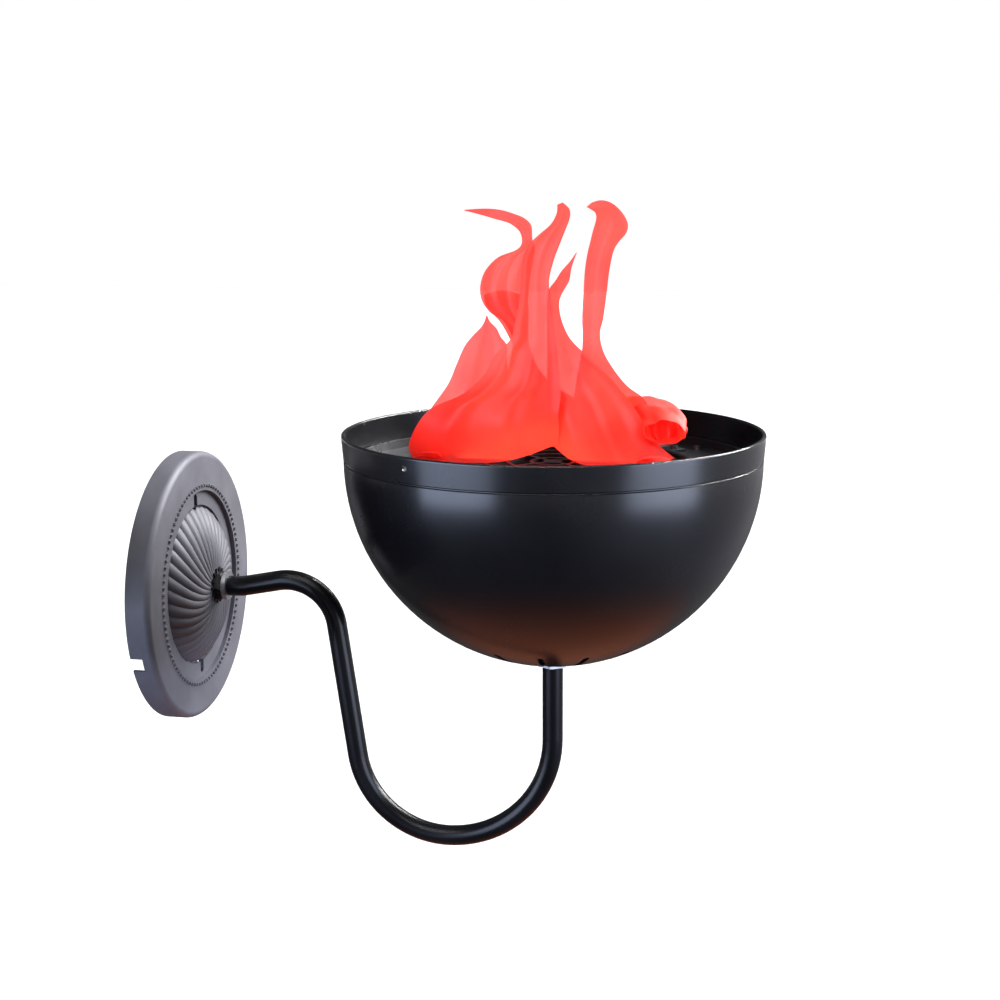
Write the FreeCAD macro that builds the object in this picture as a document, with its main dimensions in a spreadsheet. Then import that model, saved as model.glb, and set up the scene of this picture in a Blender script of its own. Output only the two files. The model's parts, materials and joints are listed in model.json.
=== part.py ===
# Wall flame lamp: a pressed wall canopy, a bent tube arm and a bowl that holds a fan,
# three light modules and a silk flame. Millimetres, +Z up, the wall is the plane Y = 0,
# the lamp stands out along -Y and the origin is the centre of the canopy's back.
import FreeCAD, Part
import math
import os

import Sketcher
from FreeCAD import Placement, Rotation, Vector

doc = FreeCAD.newDocument("wall_flame_lamp")
sheet = doc.addObject("Spreadsheet::Sheet", "Sizes")

# Driving sizes in millimetres, degrees and counts, with the alias that each has in the spreadsheet
SIZES = {
    "reach": 191, "bowl_centre_rise": 70, "arm_drop": 124, "overrun": 1, "running_gap": 0.6,
    "seat_gap": 0.3,
    "canopy_radius": 67, "canopy_depth": 12, "canopy_edge_round": 3, "canopy_sheet": 1.4,
    "bead_ring_radius": 50, "bead_width": 3, "bead_rise": 1, "bead_count": 96, "recess_radius": 47.5,
    "recess_step": 2, "dome_radius": 38.5, "dome_groove": 1.5, "dome_groove_width": 1.5,
    "dome_rise": 20, "dome_tip_radius": 8, "flute_count": 36, "flute_depth": 0.9,
    "flute_swirl_angle": 34, "screw_slot_spacing": 84, "screw_slot_width": 4.2, "screw_slot_length": 8,
    "notch_width": 7.4, "notch_depth": 6, "notch_angle": 22,
    "nipple_radius": 3.95, "nipple_bore_radius": 2.9, "nipple_hold": 12, "hole_clearance": 0.15,
    "nut_across_flats": 13, "nut_thickness": 3.2, "lower_nut_thickness": 3.8, "lock_washer_radius": 9,
    "lock_washer_thickness": 0.9, "tooth_count": 14, "tooth_length": 2, "collar_radius": 7,
    "collar_thickness": 2.2, "washer_radius": 7, "washer_thickness": 1, "nipple_stand": 1.6,
    "tube_radius": 5, "tube_wall": 1, "tube_lead_in": 5, "rise_angle": 11, "rise_bend_radius": 20,
    "rise_run": 17.7, "crest_bend_radius": 25, "near_bend_radius": 46, "far_bend_radius": 54,
    "lead_radius": 2.5, "lead_bend_radius": 6, "lead_tail": 5, "block_length": 17, "block_height": 11,
    "block_depth": 8, "block_screw_radius": 1.3, "block_pitch": 8,
    "bowl_radius": 99, "rim_step": 1, "rim_rise": 12.8, "bowl_wall": 2, "rim_round": 0.9,
    "seam_below_rim": 12, "seam_radius": 0.6, "chain_hole_radius": 1.5, "chain_hole_below_rim": 5,
    "chain_hole_count": 3, "vent_count": 15, "vent_start_angle": 15.6, "vent_inner_radius": 22,
    "vent_outer_radius": 52.5,
    "vent_width": 2.8, "foot_flat": 0.4, "foot_pad_radius": 13, "foot_pad_thickness": 2.6,
    "deck_post_radius": 4, "deck_post_inset": 10.5, "deck_post_length": 20, "post_rib": 2.4,
    "driver_post_radius": 3.6, "driver_post_offset": 25.5, "driver_seat_rise": 21,
    "screw_pilot_radius": 1.2, "pilot_depth": 8,
    "deck_below_rim": 17, "deck_lip_below_rim": 13, "deck_sheet": 2, "deck_lip": 2, "deck_gap": 0.4,
    "air_opening_radius": 44, "light_inset": 19, "light_hole_radius": 5.7, "light_count": 3,
    "fan_square": 92, "fan_depth": 25, "fan_corner": 5, "fan_duct_radius": 43.6,
    "fan_hole_offset": 41.25, "fan_hole_radius": 2.2, "fan_screw_radius": 1.9, "fan_mount_radius": 17.5,
    "fan_mount_thickness": 2.2, "fan_arm_width": 4, "fan_arm_count": 4, "hub_radius": 18.5,
    "hub_wall": 1.5, "hub_height": 20, "hub_bottom_gap": 1, "blade_count": 7, "blade_thickness": 1.6,
    "blade_span_angle": 38, "blade_tip_gap": 1.2, "blade_margin": 2, "magnet_wall": 1.5,
    "magnet_height": 14, "shaft_radius": 1.5, "bearing_radius": 4, "bearing_width": 4,
    "bearing_tube_wall": 1, "shaft_clearance": 0.05, "stator_radius": 14, "stator_height": 9,
    "pole_count": 4, "pole_width": 6, "coil_wall": 1.8, "circuit_thickness": 1.2,
    "circuit_radius": 14.5,
    "guard_wire": 1.6, "guard_ring_count": 4, "guard_lug_radius": 4.4, "fan_head_radius": 3.4,
    "fan_nut_across": 7, "fan_nut_thickness": 3, "hoop_radius": 66, "hoop_wire_radius": 1.2,
    "clip_length": 15, "clip_width": 7, "clip_wall": 1.4, "clip_screw_out": 7.5,
    "lens_base_radius": 3.6, "lens_top_radius": 5.2, "lens_height": 8, "board_radius": 10.6,
    "board_thickness": 1.6, "emitter_radius": 2.5, "emitter_height": 1, "sink_height": 10,
    "sink_fin_count": 6, "sink_fin_gap": 1.6, "sink_base": 2.4, "light_spacer_radius": 1.7,
    "light_screw_out": 8.6, "driver_length": 56, "driver_width": 42, "driver_height": 20,
    "driver_plate": 2, "driver_wall": 1.8, "driver_board_gap": 4, "driver_ear": 30, "wire_radius": 1.2,
    "wire_bend_radius": 9,
    "screw_head_radius": 2.6, "screw_head_height": 1.8, "screw_radius": 1.15, "screw_length": 8,
    "silk_thickness": 0.7, "flame_height": 121, "flame_half_width": 66, "flame_depth": 24,
}

# Corner distance of a hexagon as a share of its width across flats, and of a square of its half side
HEXAGON_CORNER_SHARE = 1 / math.sqrt(3)
SQUARE_CORNER_SHARE = math.sqrt(2)
HEXAGON_SIDES = 6

# Small places as shares of the size beside them
TOOTH_ROOT_SHARE = 1.4
LEAD_ROOM_SHARE = 1.5
SCREW_GRIP_SHARE = 1.5
CASE_SCREW_SHARE = 1.5
TRANSFORMER_LENGTH_SHARE = 1.4
TRANSFORMER_PLACE_SHARE = 0.3
UPRIGHT_SHARE = 0.9

# The spreadsheet's headings, each above the first alias of its group
HEADINGS = {
    "reach": "Whole lamp", "canopy_radius": "Wall canopy, pressed sheet",
    "nipple_radius": "Threaded fixings of the arm", "tube_radius": "Arm tube and lead",
    "bowl_radius": "Bowl, moulded", "deck_below_rim": "Deck plate", "fan_square": "Fan",
    "guard_wire": "Finger guard, silk hoop and clips", "lens_base_radius": "Light modules and driver",
    "screw_head_radius": "Small screws", "silk_thickness": "Silk flame",
}


def fill_sheet():
    """One row per driving size, with its alias, and one row per group heading."""
    row = 1
    for alias, value in SIZES.items():
        if alias in HEADINGS:
            row += 1
            sheet.set("A%d" % row, HEADINGS[alias])
            row += 1
        sheet.set("A%d" % row, alias.replace("_", " "))
        sheet.set("B%d" % row, str(value))
        sheet.setAlias("B%d" % row, alias)
        row += 1
    doc.recompute()


class Size:
    """A number that remembers the spreadsheet formula it comes from."""

    def __init__(self, value, text):
        self.value = float(value)
        self.text = text

    def __float__(self):
        return self.value

    def join(self, other, sign, value):
        other_text = other.text if isinstance(other, Size) else repr(float(other))
        return Size(value, "(%s %s %s)" % (self.text, sign, other_text))

    def __add__(self, other):
        return self.join(other, "+", self.value + float(other))

    def __sub__(self, other):
        return self.join(other, "-", self.value - float(other))

    def __mul__(self, other):
        return self.join(other, "*", self.value * float(other))

    def __truediv__(self, other):
        return self.join(other, "/", self.value / float(other))

    def __neg__(self):
        return Size(-self.value, "(0 - %s)" % self.text)


class SizeTable:
    """Gives each driving size of the spreadsheet by its alias."""

    def __getattr__(self, alias):
        return Size(sheet.get(alias), "Sizes." + alias)


def root(size):
    """The square root of a size product."""
    return Size(math.sqrt(float(size)), "sqrt(%s)" % size.text)


fill_sheet()
s = SizeTable()
NODES = []


# Small makers that the sub-parts share
def bind(item, prop, size):
    if isinstance(size, Size):
        item.setExpression(prop, size.text)
    elif size:
        raise ValueError("a bare length for " + prop)


def place_at(item, at):
    for axis, size in zip("xyz", at):
        bind(item, "Placement.Base." + axis, size)
    return item


def cylinder(name, radius, height, at=(0, 0, 0)):
    item = doc.addObject("Part::Cylinder", name)
    bind(item, "Radius", radius)
    bind(item, "Height", height)
    return place_at(item, at)


def cone(name, low_radius, high_radius, height, at=(0, 0, 0)):
    item = doc.addObject("Part::Cone", name)
    bind(item, "Radius1", low_radius)
    bind(item, "Radius2", high_radius)
    bind(item, "Height", height)
    return place_at(item, at)


def block(name, length, width, height, centre=(0, 0, 0)):
    """A box whose base is centred on a point."""
    item = doc.addObject("Part::Box", name)
    bind(item, "Length", length)
    bind(item, "Width", width)
    bind(item, "Height", height)
    x, y, z = centre
    return place_at(item, (x - length / 2 if x else -(length / 2), y - width / 2 if y else -(width / 2),
                           z))


def prism(name, across_flats, height, at=(0, 0, 0)):
    item = doc.addObject("Part::Prism", name)
    item.Polygon = HEXAGON_SIDES
    bind(item, "Circumradius", across_flats * HEXAGON_CORNER_SHARE)
    bind(item, "Height", height)
    return place_at(item, at)


def joined(name, *items):
    fused = doc.addObject("Part::MultiFuse", name)
    fused.Shapes = list(items)
    return fused


def cut(name, base, *tools):
    item = doc.addObject("Part::Cut", name)
    item.Base = base
    item.Tool = tools[0] if len(tools) == 1 else joined(name + "_tools", *tools)
    return item


def grouped(name, *items):
    group = doc.addObject("Part::Compound", name)
    group.Links = list(items)
    return group


def shaped(name, shape):
    """A free form that no primitive or sketch gives."""
    item = doc.addObject("Part::Feature", name)
    item.Shape = shape
    return item


def pin(sketch, index, point, coordinates):
    """Ties a point of the sketch to its two distances from the axes."""
    for kind, axis_id, size in (("DistanceX", -2, coordinates[0]), ("DistanceY", -1, coordinates[1])):
        if isinstance(size, Size):
            number = sketch.addConstraint(Sketcher.Constraint(kind, index, point, float(size)))
            sketch.setExpression("Constraints[%d]" % number, size.text)
        else:
            sketch.addConstraint(Sketcher.Constraint("PointOnObject", index, point, axis_id))


def outline(sketch, corners):
    """A closed outline of straight lines through corners given as sizes."""
    first = sketch.GeometryCount
    count = len(corners)
    ends = [Vector(float(x), float(y), 0) for x, y in corners]
    for k in range(count):
        sketch.addGeometry(Part.LineSegment(ends[k], ends[(k + 1) % count]))
    for k in range(count):
        sketch.addConstraint(Sketcher.Constraint("Coincident", first + k, 2, first + (k + 1) % count, 1))
        pin(sketch, first + k, 1, corners[k])


def circle(sketch, radius, centre=(0, 0)):
    index = sketch.addGeometry(Part.Circle(Vector(float(centre[0]), float(centre[1]), 0), Vector(0, 0, 1),
                                           float(radius)))
    number = sketch.addConstraint(Sketcher.Constraint("Radius", index, float(radius)))
    sketch.setExpression("Constraints[%d]" % number, radius.text)
    if isinstance(centre[0], Size) or isinstance(centre[1], Size):
        pin(sketch, index, 3, centre)
    else:
        sketch.addConstraint(Sketcher.Constraint("Coincident", index, 3, -1, 1))


def new_sketch(body, name, role, lift=None):
    plane = [item for item in body.Origin.OriginFeatures if item.Role == role][0]
    sketch = body.newObject("Sketcher::SketchObject", name)
    sketch.AttachmentSupport = (plane, [""])
    sketch.MapMode = "FlatFace"
    if lift is not None:
        sketch.setExpression("AttachmentOffset.Base.z", lift.text)
    return sketch


def turned(name, corners):
    """A body turned about its own Z axis from an outline of radius and height pairs."""
    body = doc.addObject("PartDesign::Body", name)
    sketch = new_sketch(body, name + "_section", "XZ_Plane")
    outline(sketch, corners)
    feature = body.newObject("PartDesign::Revolution", name + "_turn")
    feature.Profile = sketch
    feature.ReferenceAxis = (sketch, ["V_Axis"])
    feature.Angle = 360
    sketch.Visibility = False
    return body


def padded(name, draw, height, lift=None):
    """A body raised from a flat outline that the draw function makes."""
    body = doc.addObject("PartDesign::Body", name)
    sketch = new_sketch(body, name + "_outline", "XY_Plane", lift)
    draw(sketch)
    feature = body.newObject("PartDesign::Pad", name + "_pad")
    feature.Profile = sketch
    feature.setExpression("Length", height.text)
    return body, sketch, feature


def repeated(body, sketch, feature, count):
    """The feature repeated evenly round the body's Z axis."""
    pattern = body.newObject("PartDesign::PolarPattern", feature.Name + "_ring")
    pattern.Originals = [feature]
    pattern.Axis = (sketch, ["N_Axis"])
    pattern.Angle = 360
    pattern.setExpression("Occurrences", count.text)
    body.Tip = pattern
    return body


def finished(item, label, where):
    """Names a sub-part and puts it at the wall, at the bowl or in the lamp's own frame."""
    item.Label = label
    if where == "wall":
        item.Placement = Placement(Vector(), Rotation(Vector(1, 0, 0), 90))
    elif where == "bowl":
        place_at(item, (0, -s.reach, s.bowl_centre_rise))
    NODES.append(item)
    return item


def screw_shape(head_radius, head_height, radius, length):
    """A pan-head screw with its seat at the origin and its shank downwards."""
    head = Part.makeCone(float(head_radius), float(head_radius) * HEAD_TOP_SHARE, float(head_height))
    shank = Part.makeCylinder(float(radius), float(length), Vector(), Vector(0, 0, -1))
    return head.fuse(shank)


def hexagon(corner_radius, height):
    """A closed six-sided outline at a height."""
    turn = 2 * math.pi / HEXAGON_SIDES
    return Part.makePolygon([Vector(corner_radius * math.cos(turn * k),
                                    corner_radius * math.sin(turn * k), height)
                             for k in range(HEXAGON_SIDES + 1)])


def around(shape, radius, count, start_angle):
    """Copies of a shape evenly round the Z axis at a radius."""
    copies = []
    for k in range(int(float(count))):
        copy = shape.copy()
        copy.translate(Vector(float(radius), 0, 0))
        copy.rotate(Vector(), Vector(0, 0, 1), start_angle + 360.0 * k / float(count))
        copies.append(copy)
    return copies


HEAD_TOP_SHARE = 0.72
SQUARE_START_ANGLE = 45


# Wall canopy: local Z is the distance from the wall, local Y is up
def dome_point(share):
    """Radius and height of the dome, from its tip (share 0) to its foot (share 1)."""
    tip = float(s.dome_tip_radius)
    foot_height = float(s.canopy_depth - s.recess_step - s.dome_groove)
    rise = (1 - share ** DOME_FALL_SHARE) ** DOME_ROUND_SHARE
    radius = tip + (float(s.dome_radius) - tip) * share
    return radius, foot_height + (float(s.dome_rise) - foot_height) * rise


DOME_FALL_SHARE = 2.4
DOME_ROUND_SHARE = 0.85
DOME_STEPS = 16


def fluted_dome():
    """A loft through scalloped rings that shrink and turn towards the tip."""
    rings = []
    count = int(float(s.flute_count))
    for step in range(DOME_STEPS + 1):
        share = 1 - step / DOME_STEPS
        radius, height = dome_point(share)
        near = dome_point(min(share + 0.5 / DOME_STEPS, 1))
        far = dome_point(max(share - 0.5 / DOME_STEPS, 0))
        slope = math.atan2(far[1] - near[1], near[0] - far[0])
        relief = float(s.flute_depth) * math.sqrt(share)
        lift = 0 if step in (0, DOME_STEPS) else relief * math.cos(slope)
        out = relief * (1 if step == 0 else math.sin(slope))
        turn = math.radians(float(s.flute_swirl_angle)) * (1 - share)
        half = math.pi / count
        edges = []
        for k in range(count):
            corners = []
            for angle, r, z in ((0, radius, height), (half, radius + out, height + lift),
                                (2 * half, radius, height)):
                bearing = turn + 2 * half * k + angle
                corners.append(Vector(r * math.cos(bearing), r * math.sin(bearing), z))
            edges.append(Part.Arc(*corners).toShape())
        rings.append(Part.Wire(edges))
    return Part.makeLoft(rings, True, False)


def dome_hollow_corners():
    """The inside of the dome, one sheet below its outside."""
    corners = []
    for step in range(DOME_STEPS // 2 + 1):
        radius, height = dome_point(2 * step / DOME_STEPS)
        radius -= float(s.canopy_sheet) * (2 * step / DOME_STEPS)
        corners.append(Vector(radius, 0, height - float(s.canopy_sheet)))
    return corners


def canopy_outside():
    recess_height = s.canopy_depth - s.recess_step
    groove_height = recess_height - s.dome_groove
    body = turned("canopy_outside", [
        (0, 0), (s.canopy_radius, 0), (s.canopy_radius, s.canopy_depth),
        (s.recess_radius, s.canopy_depth), (s.recess_radius, recess_height),
        (s.dome_radius + s.dome_groove_width, recess_height),
        (s.dome_radius + s.dome_groove_width, groove_height), (0, groove_height),
    ])
    doc.recompute()
    turn = body.Tip
    edge = [k for k, item in enumerate(turn.Shape.Edges, 1)
            if item.Curve.TypeId == "Part::GeomCircle"
            and abs(item.Curve.Radius - float(s.canopy_radius)) < 1e-4
            and abs(item.Curve.Center.z - float(s.canopy_depth)) < 1e-4][0]
    rounding = body.newObject("PartDesign::Fillet", "canopy_edge_rounding")
    rounding.Base = (turn, ["Edge%d" % edge])
    rounding.setExpression("Radius", s.canopy_edge_round.text)
    return body


def canopy_hollow():
    """What the press leaves open behind the sheet."""
    sheet_size = float(s.canopy_sheet)
    back = Vector(0, 0, -float(s.overrun))
    floor_height = float(s.canopy_depth) - sheet_size
    recess_height = floor_height - float(s.recess_step)
    rim = float(s.canopy_radius) - sheet_size
    step = float(s.recess_radius) + sheet_size
    corners = [
        back, Vector(rim, 0, back.z), Vector(rim, 0, floor_height - sheet_size),
        Vector(rim - sheet_size, 0, floor_height), Vector(step, 0, floor_height),
        Vector(step, 0, recess_height),
        Vector(float(s.dome_radius) + float(s.dome_groove_width), 0,
               recess_height - float(s.dome_groove)),
    ]
    dome = dome_hollow_corners()
    section = Part.makePolygon(corners + list(reversed(dome)) + [Vector(0, 0, dome[0].z), back])
    return Part.Face(section).revolve(Vector(), Vector(0, 0, 1), 360)


def bead_ring():
    """Round beads in a ring, each a small six-sided stud."""
    low = float(s.bead_width) / 2
    base = float(s.canopy_depth) - float(s.bead_rise)
    sections = []
    for radius, height in ((low, base), (low * BEAD_TOP_SHARE, base + 2 * float(s.bead_rise))):
        sections.append(hexagon(radius, height))
    bead = Part.makeLoft(sections, True, True)
    return Part.makeCompound(around(bead, s.bead_ring_radius, s.bead_count, 0))


BEAD_TOP_SHARE = 0.5


def slot_tool(name, sign):
    """A screw slot that runs along the radius, above or below the dome."""
    middle = s.screw_slot_spacing / 2 if sign > 0 else -(s.screw_slot_spacing / 2)
    straight = s.screw_slot_length - s.screw_slot_width
    radius = s.screw_slot_width / 2
    body = block(name + "_middle", s.screw_slot_width, straight, s.canopy_depth + s.overrun,
                 (0, middle, 0))
    ends = [cylinder("%s_end_%d" % (name, k), radius, s.canopy_depth + s.overrun,
                     (0, middle + straight / 2 * side, 0)) for k, side in enumerate((-1, 1))]
    return [body] + ends


def wall_canopy():
    flutes = shaped("canopy_flutes", fluted_dome())
    beads = shaped("canopy_beads", bead_ring())
    hollow = shaped("canopy_hollow", canopy_hollow())
    notch_corner = Part.makeBox(float(s.canopy_radius), float(s.notch_width),
                                float(s.notch_depth + s.overrun),
                                Vector(float(s.recess_radius), -float(s.notch_width) / 2,
                                       -float(s.overrun)))
    notch_corner.rotate(Vector(), Vector(0, 0, 1), 180 + float(s.notch_angle))
    notch = shaped("canopy_notch", notch_corner)
    hole = cylinder("canopy_hole", s.nipple_radius + s.hole_clearance, s.dome_rise + s.overrun)
    seat = cylinder("canopy_seat", s.lock_washer_radius + s.running_gap, s.overrun, (0, 0, s.dome_rise))
    slots = slot_tool("upper_slot", 1) + slot_tool("lower_slot", -1)
    solid = joined("canopy_solid", canopy_outside(), flutes, beads)
    finished(cut("wall_canopy_pressing", solid, hollow, notch, seat, hole, *slots), "wall_canopy", "wall")


# Nuts, washers and nipples that clamp the arm
def hex_nut(label, height_at, thickness, where):
    nut = cut(label + "_blank", prism(label + "_hexagon", s.nut_across_flats, thickness,
                                      (0, 0, height_at)),
              cylinder(label + "_thread", s.nipple_radius, thickness, (0, 0, height_at)))
    crown = cone(label + "_crown", s.nut_across_flats / 2 + thickness, s.nut_across_flats / 2,
                 thickness, (0, 0, height_at))
    item = doc.addObject("Part::MultiCommon", label + "_chamfered")
    item.Shapes = [nut, crown]
    return finished(item, label, where)


def washer(label, radius, thickness, height_at, where):
    item = cut(label + "_ring", cylinder(label + "_disc", radius, thickness, (0, 0, height_at)),
               cylinder(label + "_bore", s.nipple_radius + s.hole_clearance, thickness,
                        (0, 0, height_at)))
    return finished(item, label, where)


def tooth_lock_washer():
    """A thin ring with teeth bent out round its edge."""
    def draw_ring(sketch):
        circle(sketch, s.lock_washer_radius - s.tooth_length)
        circle(sketch, s.nipple_radius + s.hole_clearance)
    ring, _, _ = padded("lock_ring", draw_ring, s.lock_washer_thickness)

    half = s.tooth_length / 2

    def draw_tooth(sketch):
        start = s.lock_washer_radius - s.tooth_length * TOOTH_ROOT_SHARE
        outline(sketch, [(start, -half), (s.lock_washer_radius, -(half / 2)),
                         (s.lock_washer_radius, half / 2), (start, half)])
    _, _, feature = padded("lock_teeth", draw_tooth, s.lock_washer_thickness)
    ring_of_teeth = doc.addObject("Part::Feature", "lock_teeth_ring")
    doc.recompute()
    ring_of_teeth.Shape = Part.makeCompound(around(feature.Shape, 0, s.tooth_count, 0))
    item = joined("lock_washer_blank", ring, ring_of_teeth)
    finished(item, "lock_washer", "wall")
    bind(item, "Placement.Base.y", -s.dome_rise)


def arm_fixings():
    outside = s.dome_rise
    front_nut = outside + s.lock_washer_thickness
    collar = front_nut + s.nut_thickness
    hex_nut("canopy_front_nut", front_nut, s.nut_thickness, "wall")
    washer("arm_collar", s.collar_radius, s.collar_thickness, collar, "wall")
    inside = s.dome_rise - s.canopy_sheet - s.washer_thickness
    washer("canopy_rear_washer", s.washer_radius, s.washer_thickness, inside, "wall")
    hex_nut("canopy_rear_nut", inside - s.nut_thickness, s.nut_thickness, "wall")

    foot = s.foot_flat - s.bowl_radius
    pad_top = foot + s.foot_pad_thickness
    hex_nut("bowl_lower_nut", foot - s.lower_nut_thickness, s.lower_nut_thickness, "bowl")
    washer("bowl_upper_washer", s.collar_radius, s.washer_thickness, pad_top, "bowl")
    hex_nut("bowl_upper_nut", pad_top + s.washer_thickness, s.nut_thickness, "bowl")


def nipple(label, low, high, where):
    body = cylinder(label + "_rod", s.nipple_radius, high - low, (0, 0, low))
    bore = cylinder(label + "_bore", s.nipple_bore_radius, high - low, (0, 0, low))
    finished(cut(label + "_pipe", body, bore), label, where)


def tube_start():
    """Distance from the wall to the tube's end face."""
    return s.dome_rise + s.lock_washer_thickness + s.nut_thickness + s.collar_thickness


def tube_top():
    """Height of the tube's upper end, measured from the bowl's centre."""
    return s.foot_flat - s.bowl_radius - s.lower_nut_thickness


def threaded_nipples():
    rear = s.dome_rise - s.canopy_sheet - s.washer_thickness - s.nut_thickness - s.nipple_stand
    nipple("wall_nipple", rear, tube_start() + s.tube_lead_in, "wall")
    pad_top = s.foot_flat - s.bowl_radius + s.foot_pad_thickness
    high = pad_top + s.washer_thickness + s.nut_thickness + s.nipple_stand
    nipple("bowl_nipple", tube_top() - s.nipple_hold, high, "bowl")


# Arm: straight runs joined by tangent arcs in the plane X = 0, out is the distance from the wall
def arm_corners():
    """Tangent points and arc middles of the tube's centre line, as out and height pairs."""
    rise = math.radians(float(s.rise_angle))
    small = float(s.rise_bend_radius)
    crest = float(s.crest_bend_radius)
    near = float(s.near_bend_radius)
    far = float(s.far_bend_radius)
    start = float(tube_start())
    lead_in = start + float(s.tube_lead_in)
    bottom = -float(s.arm_drop)
    turning = float(s.reach) - far

    def on(centre, radius, angle):
        return centre[0] + radius * math.cos(angle), centre[1] + radius * math.sin(angle)

    rise_end = on((lead_in, small), small, rise - math.pi / 2)
    crest_start = on(rise_end, float(s.rise_run), rise)
    crest_centre = on(crest_start, crest, rise - math.pi / 2)
    near_centre = (turning, bottom + near)
    # the leg touches both bends: its slope from the upright follows from where they stand
    across = near_centre[0] - crest_centre[0]
    up = near_centre[1] - crest_centre[1]
    slope = math.atan2(up, across) + math.acos((crest + near) / math.hypot(across, up))
    return [
        ("line", (start, 0), (lead_in, 0)),
        ("arc", (lead_in, 0), on((lead_in, small), small, rise / 2 - math.pi / 2), rise_end),
        ("line", rise_end, crest_start),
        ("arc", crest_start, on(crest_centre, crest, (math.pi / 2 + rise + slope) / 2),
         on(crest_centre, crest, slope)),
        ("line", on(crest_centre, crest, slope), on(near_centre, near, math.pi + slope)),
        ("arc", on(near_centre, near, math.pi + slope),
         on(near_centre, near, (math.pi + slope + 1.5 * math.pi) / 2), (turning, bottom)),
        ("arc", (turning, bottom), on((turning, bottom + far), far, -math.pi / 4),
         (turning + far, bottom + far)),
        ("line", (turning + far, bottom + far),
         (turning + far, float(s.bowl_centre_rise + tube_top()))),
    ]


def path_wire(pieces):
    edges = []
    for kind, *points in pieces:
        spots = [Vector(0, -out, height) for out, height in points]
        curve = Part.LineSegment(*spots) if kind == "line" else Part.Arc(*spots)
        edges.append(curve.toShape())
    return Part.Wire(edges)


def swept(wire, radius):
    """A round bar along a path."""
    start = wire.Edges[0]
    direction = start.tangentAt(start.FirstParameter)
    ring = Part.Wire(Part.makeCircle(float(radius), start.valueAt(start.FirstParameter), direction))
    return wire.makePipeShell([ring], True, False)


def arm_tube():
    wire = path_wire(arm_corners())
    outer = shaped("arm_tube_outside", swept(wire, s.tube_radius))
    inner = shaped("arm_tube_bore", swept(wire, s.tube_radius - s.tube_wall))
    finished(cut("arm_tube_pipe", outer, inner), "arm_tube", "lamp")
    print("arm centre line %.1f mm" % wire.Length)


def arm_lead():
    """The lead from the terminal block through the arm to the driver."""
    bend = float(s.lead_bend_radius)
    back = float(s.lead_radius) + LEAD_ROOM_SHARE * float(s.canopy_sheet) + bend
    low = -bend - float(s.lead_tail)
    quarter = bend / SQUARE_CORNER_SHARE
    pieces = arm_corners()
    first = [
        ("line", (back - bend, low), (back - bend, -bend)),
        ("arc", (back - bend, -bend), (back - quarter, quarter - bend), (back, 0)),
        ("line", (back, 0), pieces[0][2]),
    ]
    kind, low_end, _ = pieces[-1]
    driver_seat = float(s.bowl_centre_rise - s.bowl_radius + s.driver_seat_rise)
    last = [(kind, low_end, (low_end[0], driver_seat))]
    finished(shaped("arm_lead_core", swept(path_wire(first + pieces[1:-1] + last), s.lead_radius)),
             "arm_lead", "lamp")


def terminal_block():
    """A two-way screw block that hangs on the lead inside the canopy."""
    lead_out = s.lead_radius + s.canopy_sheet * LEAD_ROOM_SHARE
    top = -(s.lead_bend_radius + s.lead_tail)
    middle_y = top - s.block_height
    body = doc.addObject("Part::Box", "block_body")
    bind(body, "Length", s.block_length)
    bind(body, "Width", s.block_height)
    bind(body, "Height", s.block_depth)
    place_at(body, (-(s.block_length / 2), middle_y, lead_out - s.block_depth / 2 + s.seat_gap))
    spots = [(s.block_pitch / 2 * side, middle_y + s.block_height / 2,
              lead_out + s.seat_gap) for side in (-1, 1)]
    wells = [cylinder("block_well_%d" % k, s.block_screw_radius + s.hole_clearance, s.block_depth / 2,
                      spot)
             for k, spot in enumerate(spots)]
    finished(cut("block_shell", body, *wells), "terminal_block", "wall")
    screws = [cylinder("block_screw_%d" % k, s.block_screw_radius + s.hole_clearance / 2,
                       s.block_depth / 4, spot)
              for k, spot in enumerate(spots)]
    finished(grouped("block_screw_pair", *screws), "terminal_screws", "wall")


SAME_PLACE = 1e-4


# Bowl: local Z = 0 is the centre of its ball, the collar stands above it
def rim_radius():
    return s.bowl_radius + s.rim_step


def deck_post_circle():
    return s.bowl_radius - s.deck_post_inset


def light_circle():
    return s.bowl_radius - s.light_inset


def half_ball(name, radius):
    item = doc.addObject("Part::Sphere", name)
    bind(item, "Radius", radius)
    item.Angle1 = -90
    item.Angle2 = 0
    return item


def vent_cutters():
    """Radial slots round the foot of the bowl."""
    def draw_slot(sketch):
        half = s.vent_width / 2
        outline(sketch, [(s.vent_inner_radius + half, -half), (s.vent_outer_radius - half, -half),
                         (s.vent_outer_radius, 0), (s.vent_outer_radius - half, half),
                         (s.vent_inner_radius + half, half), (s.vent_inner_radius, 0)])
    body, sketch, pad = padded("bowl_vents", draw_slot, s.bowl_radius / 2, -s.bowl_radius)
    body.Placement = Placement(Vector(), Rotation(Vector(0, 0, 1), float(s.vent_start_angle)))
    return repeated(body, sketch, pad, s.vent_count)


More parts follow.
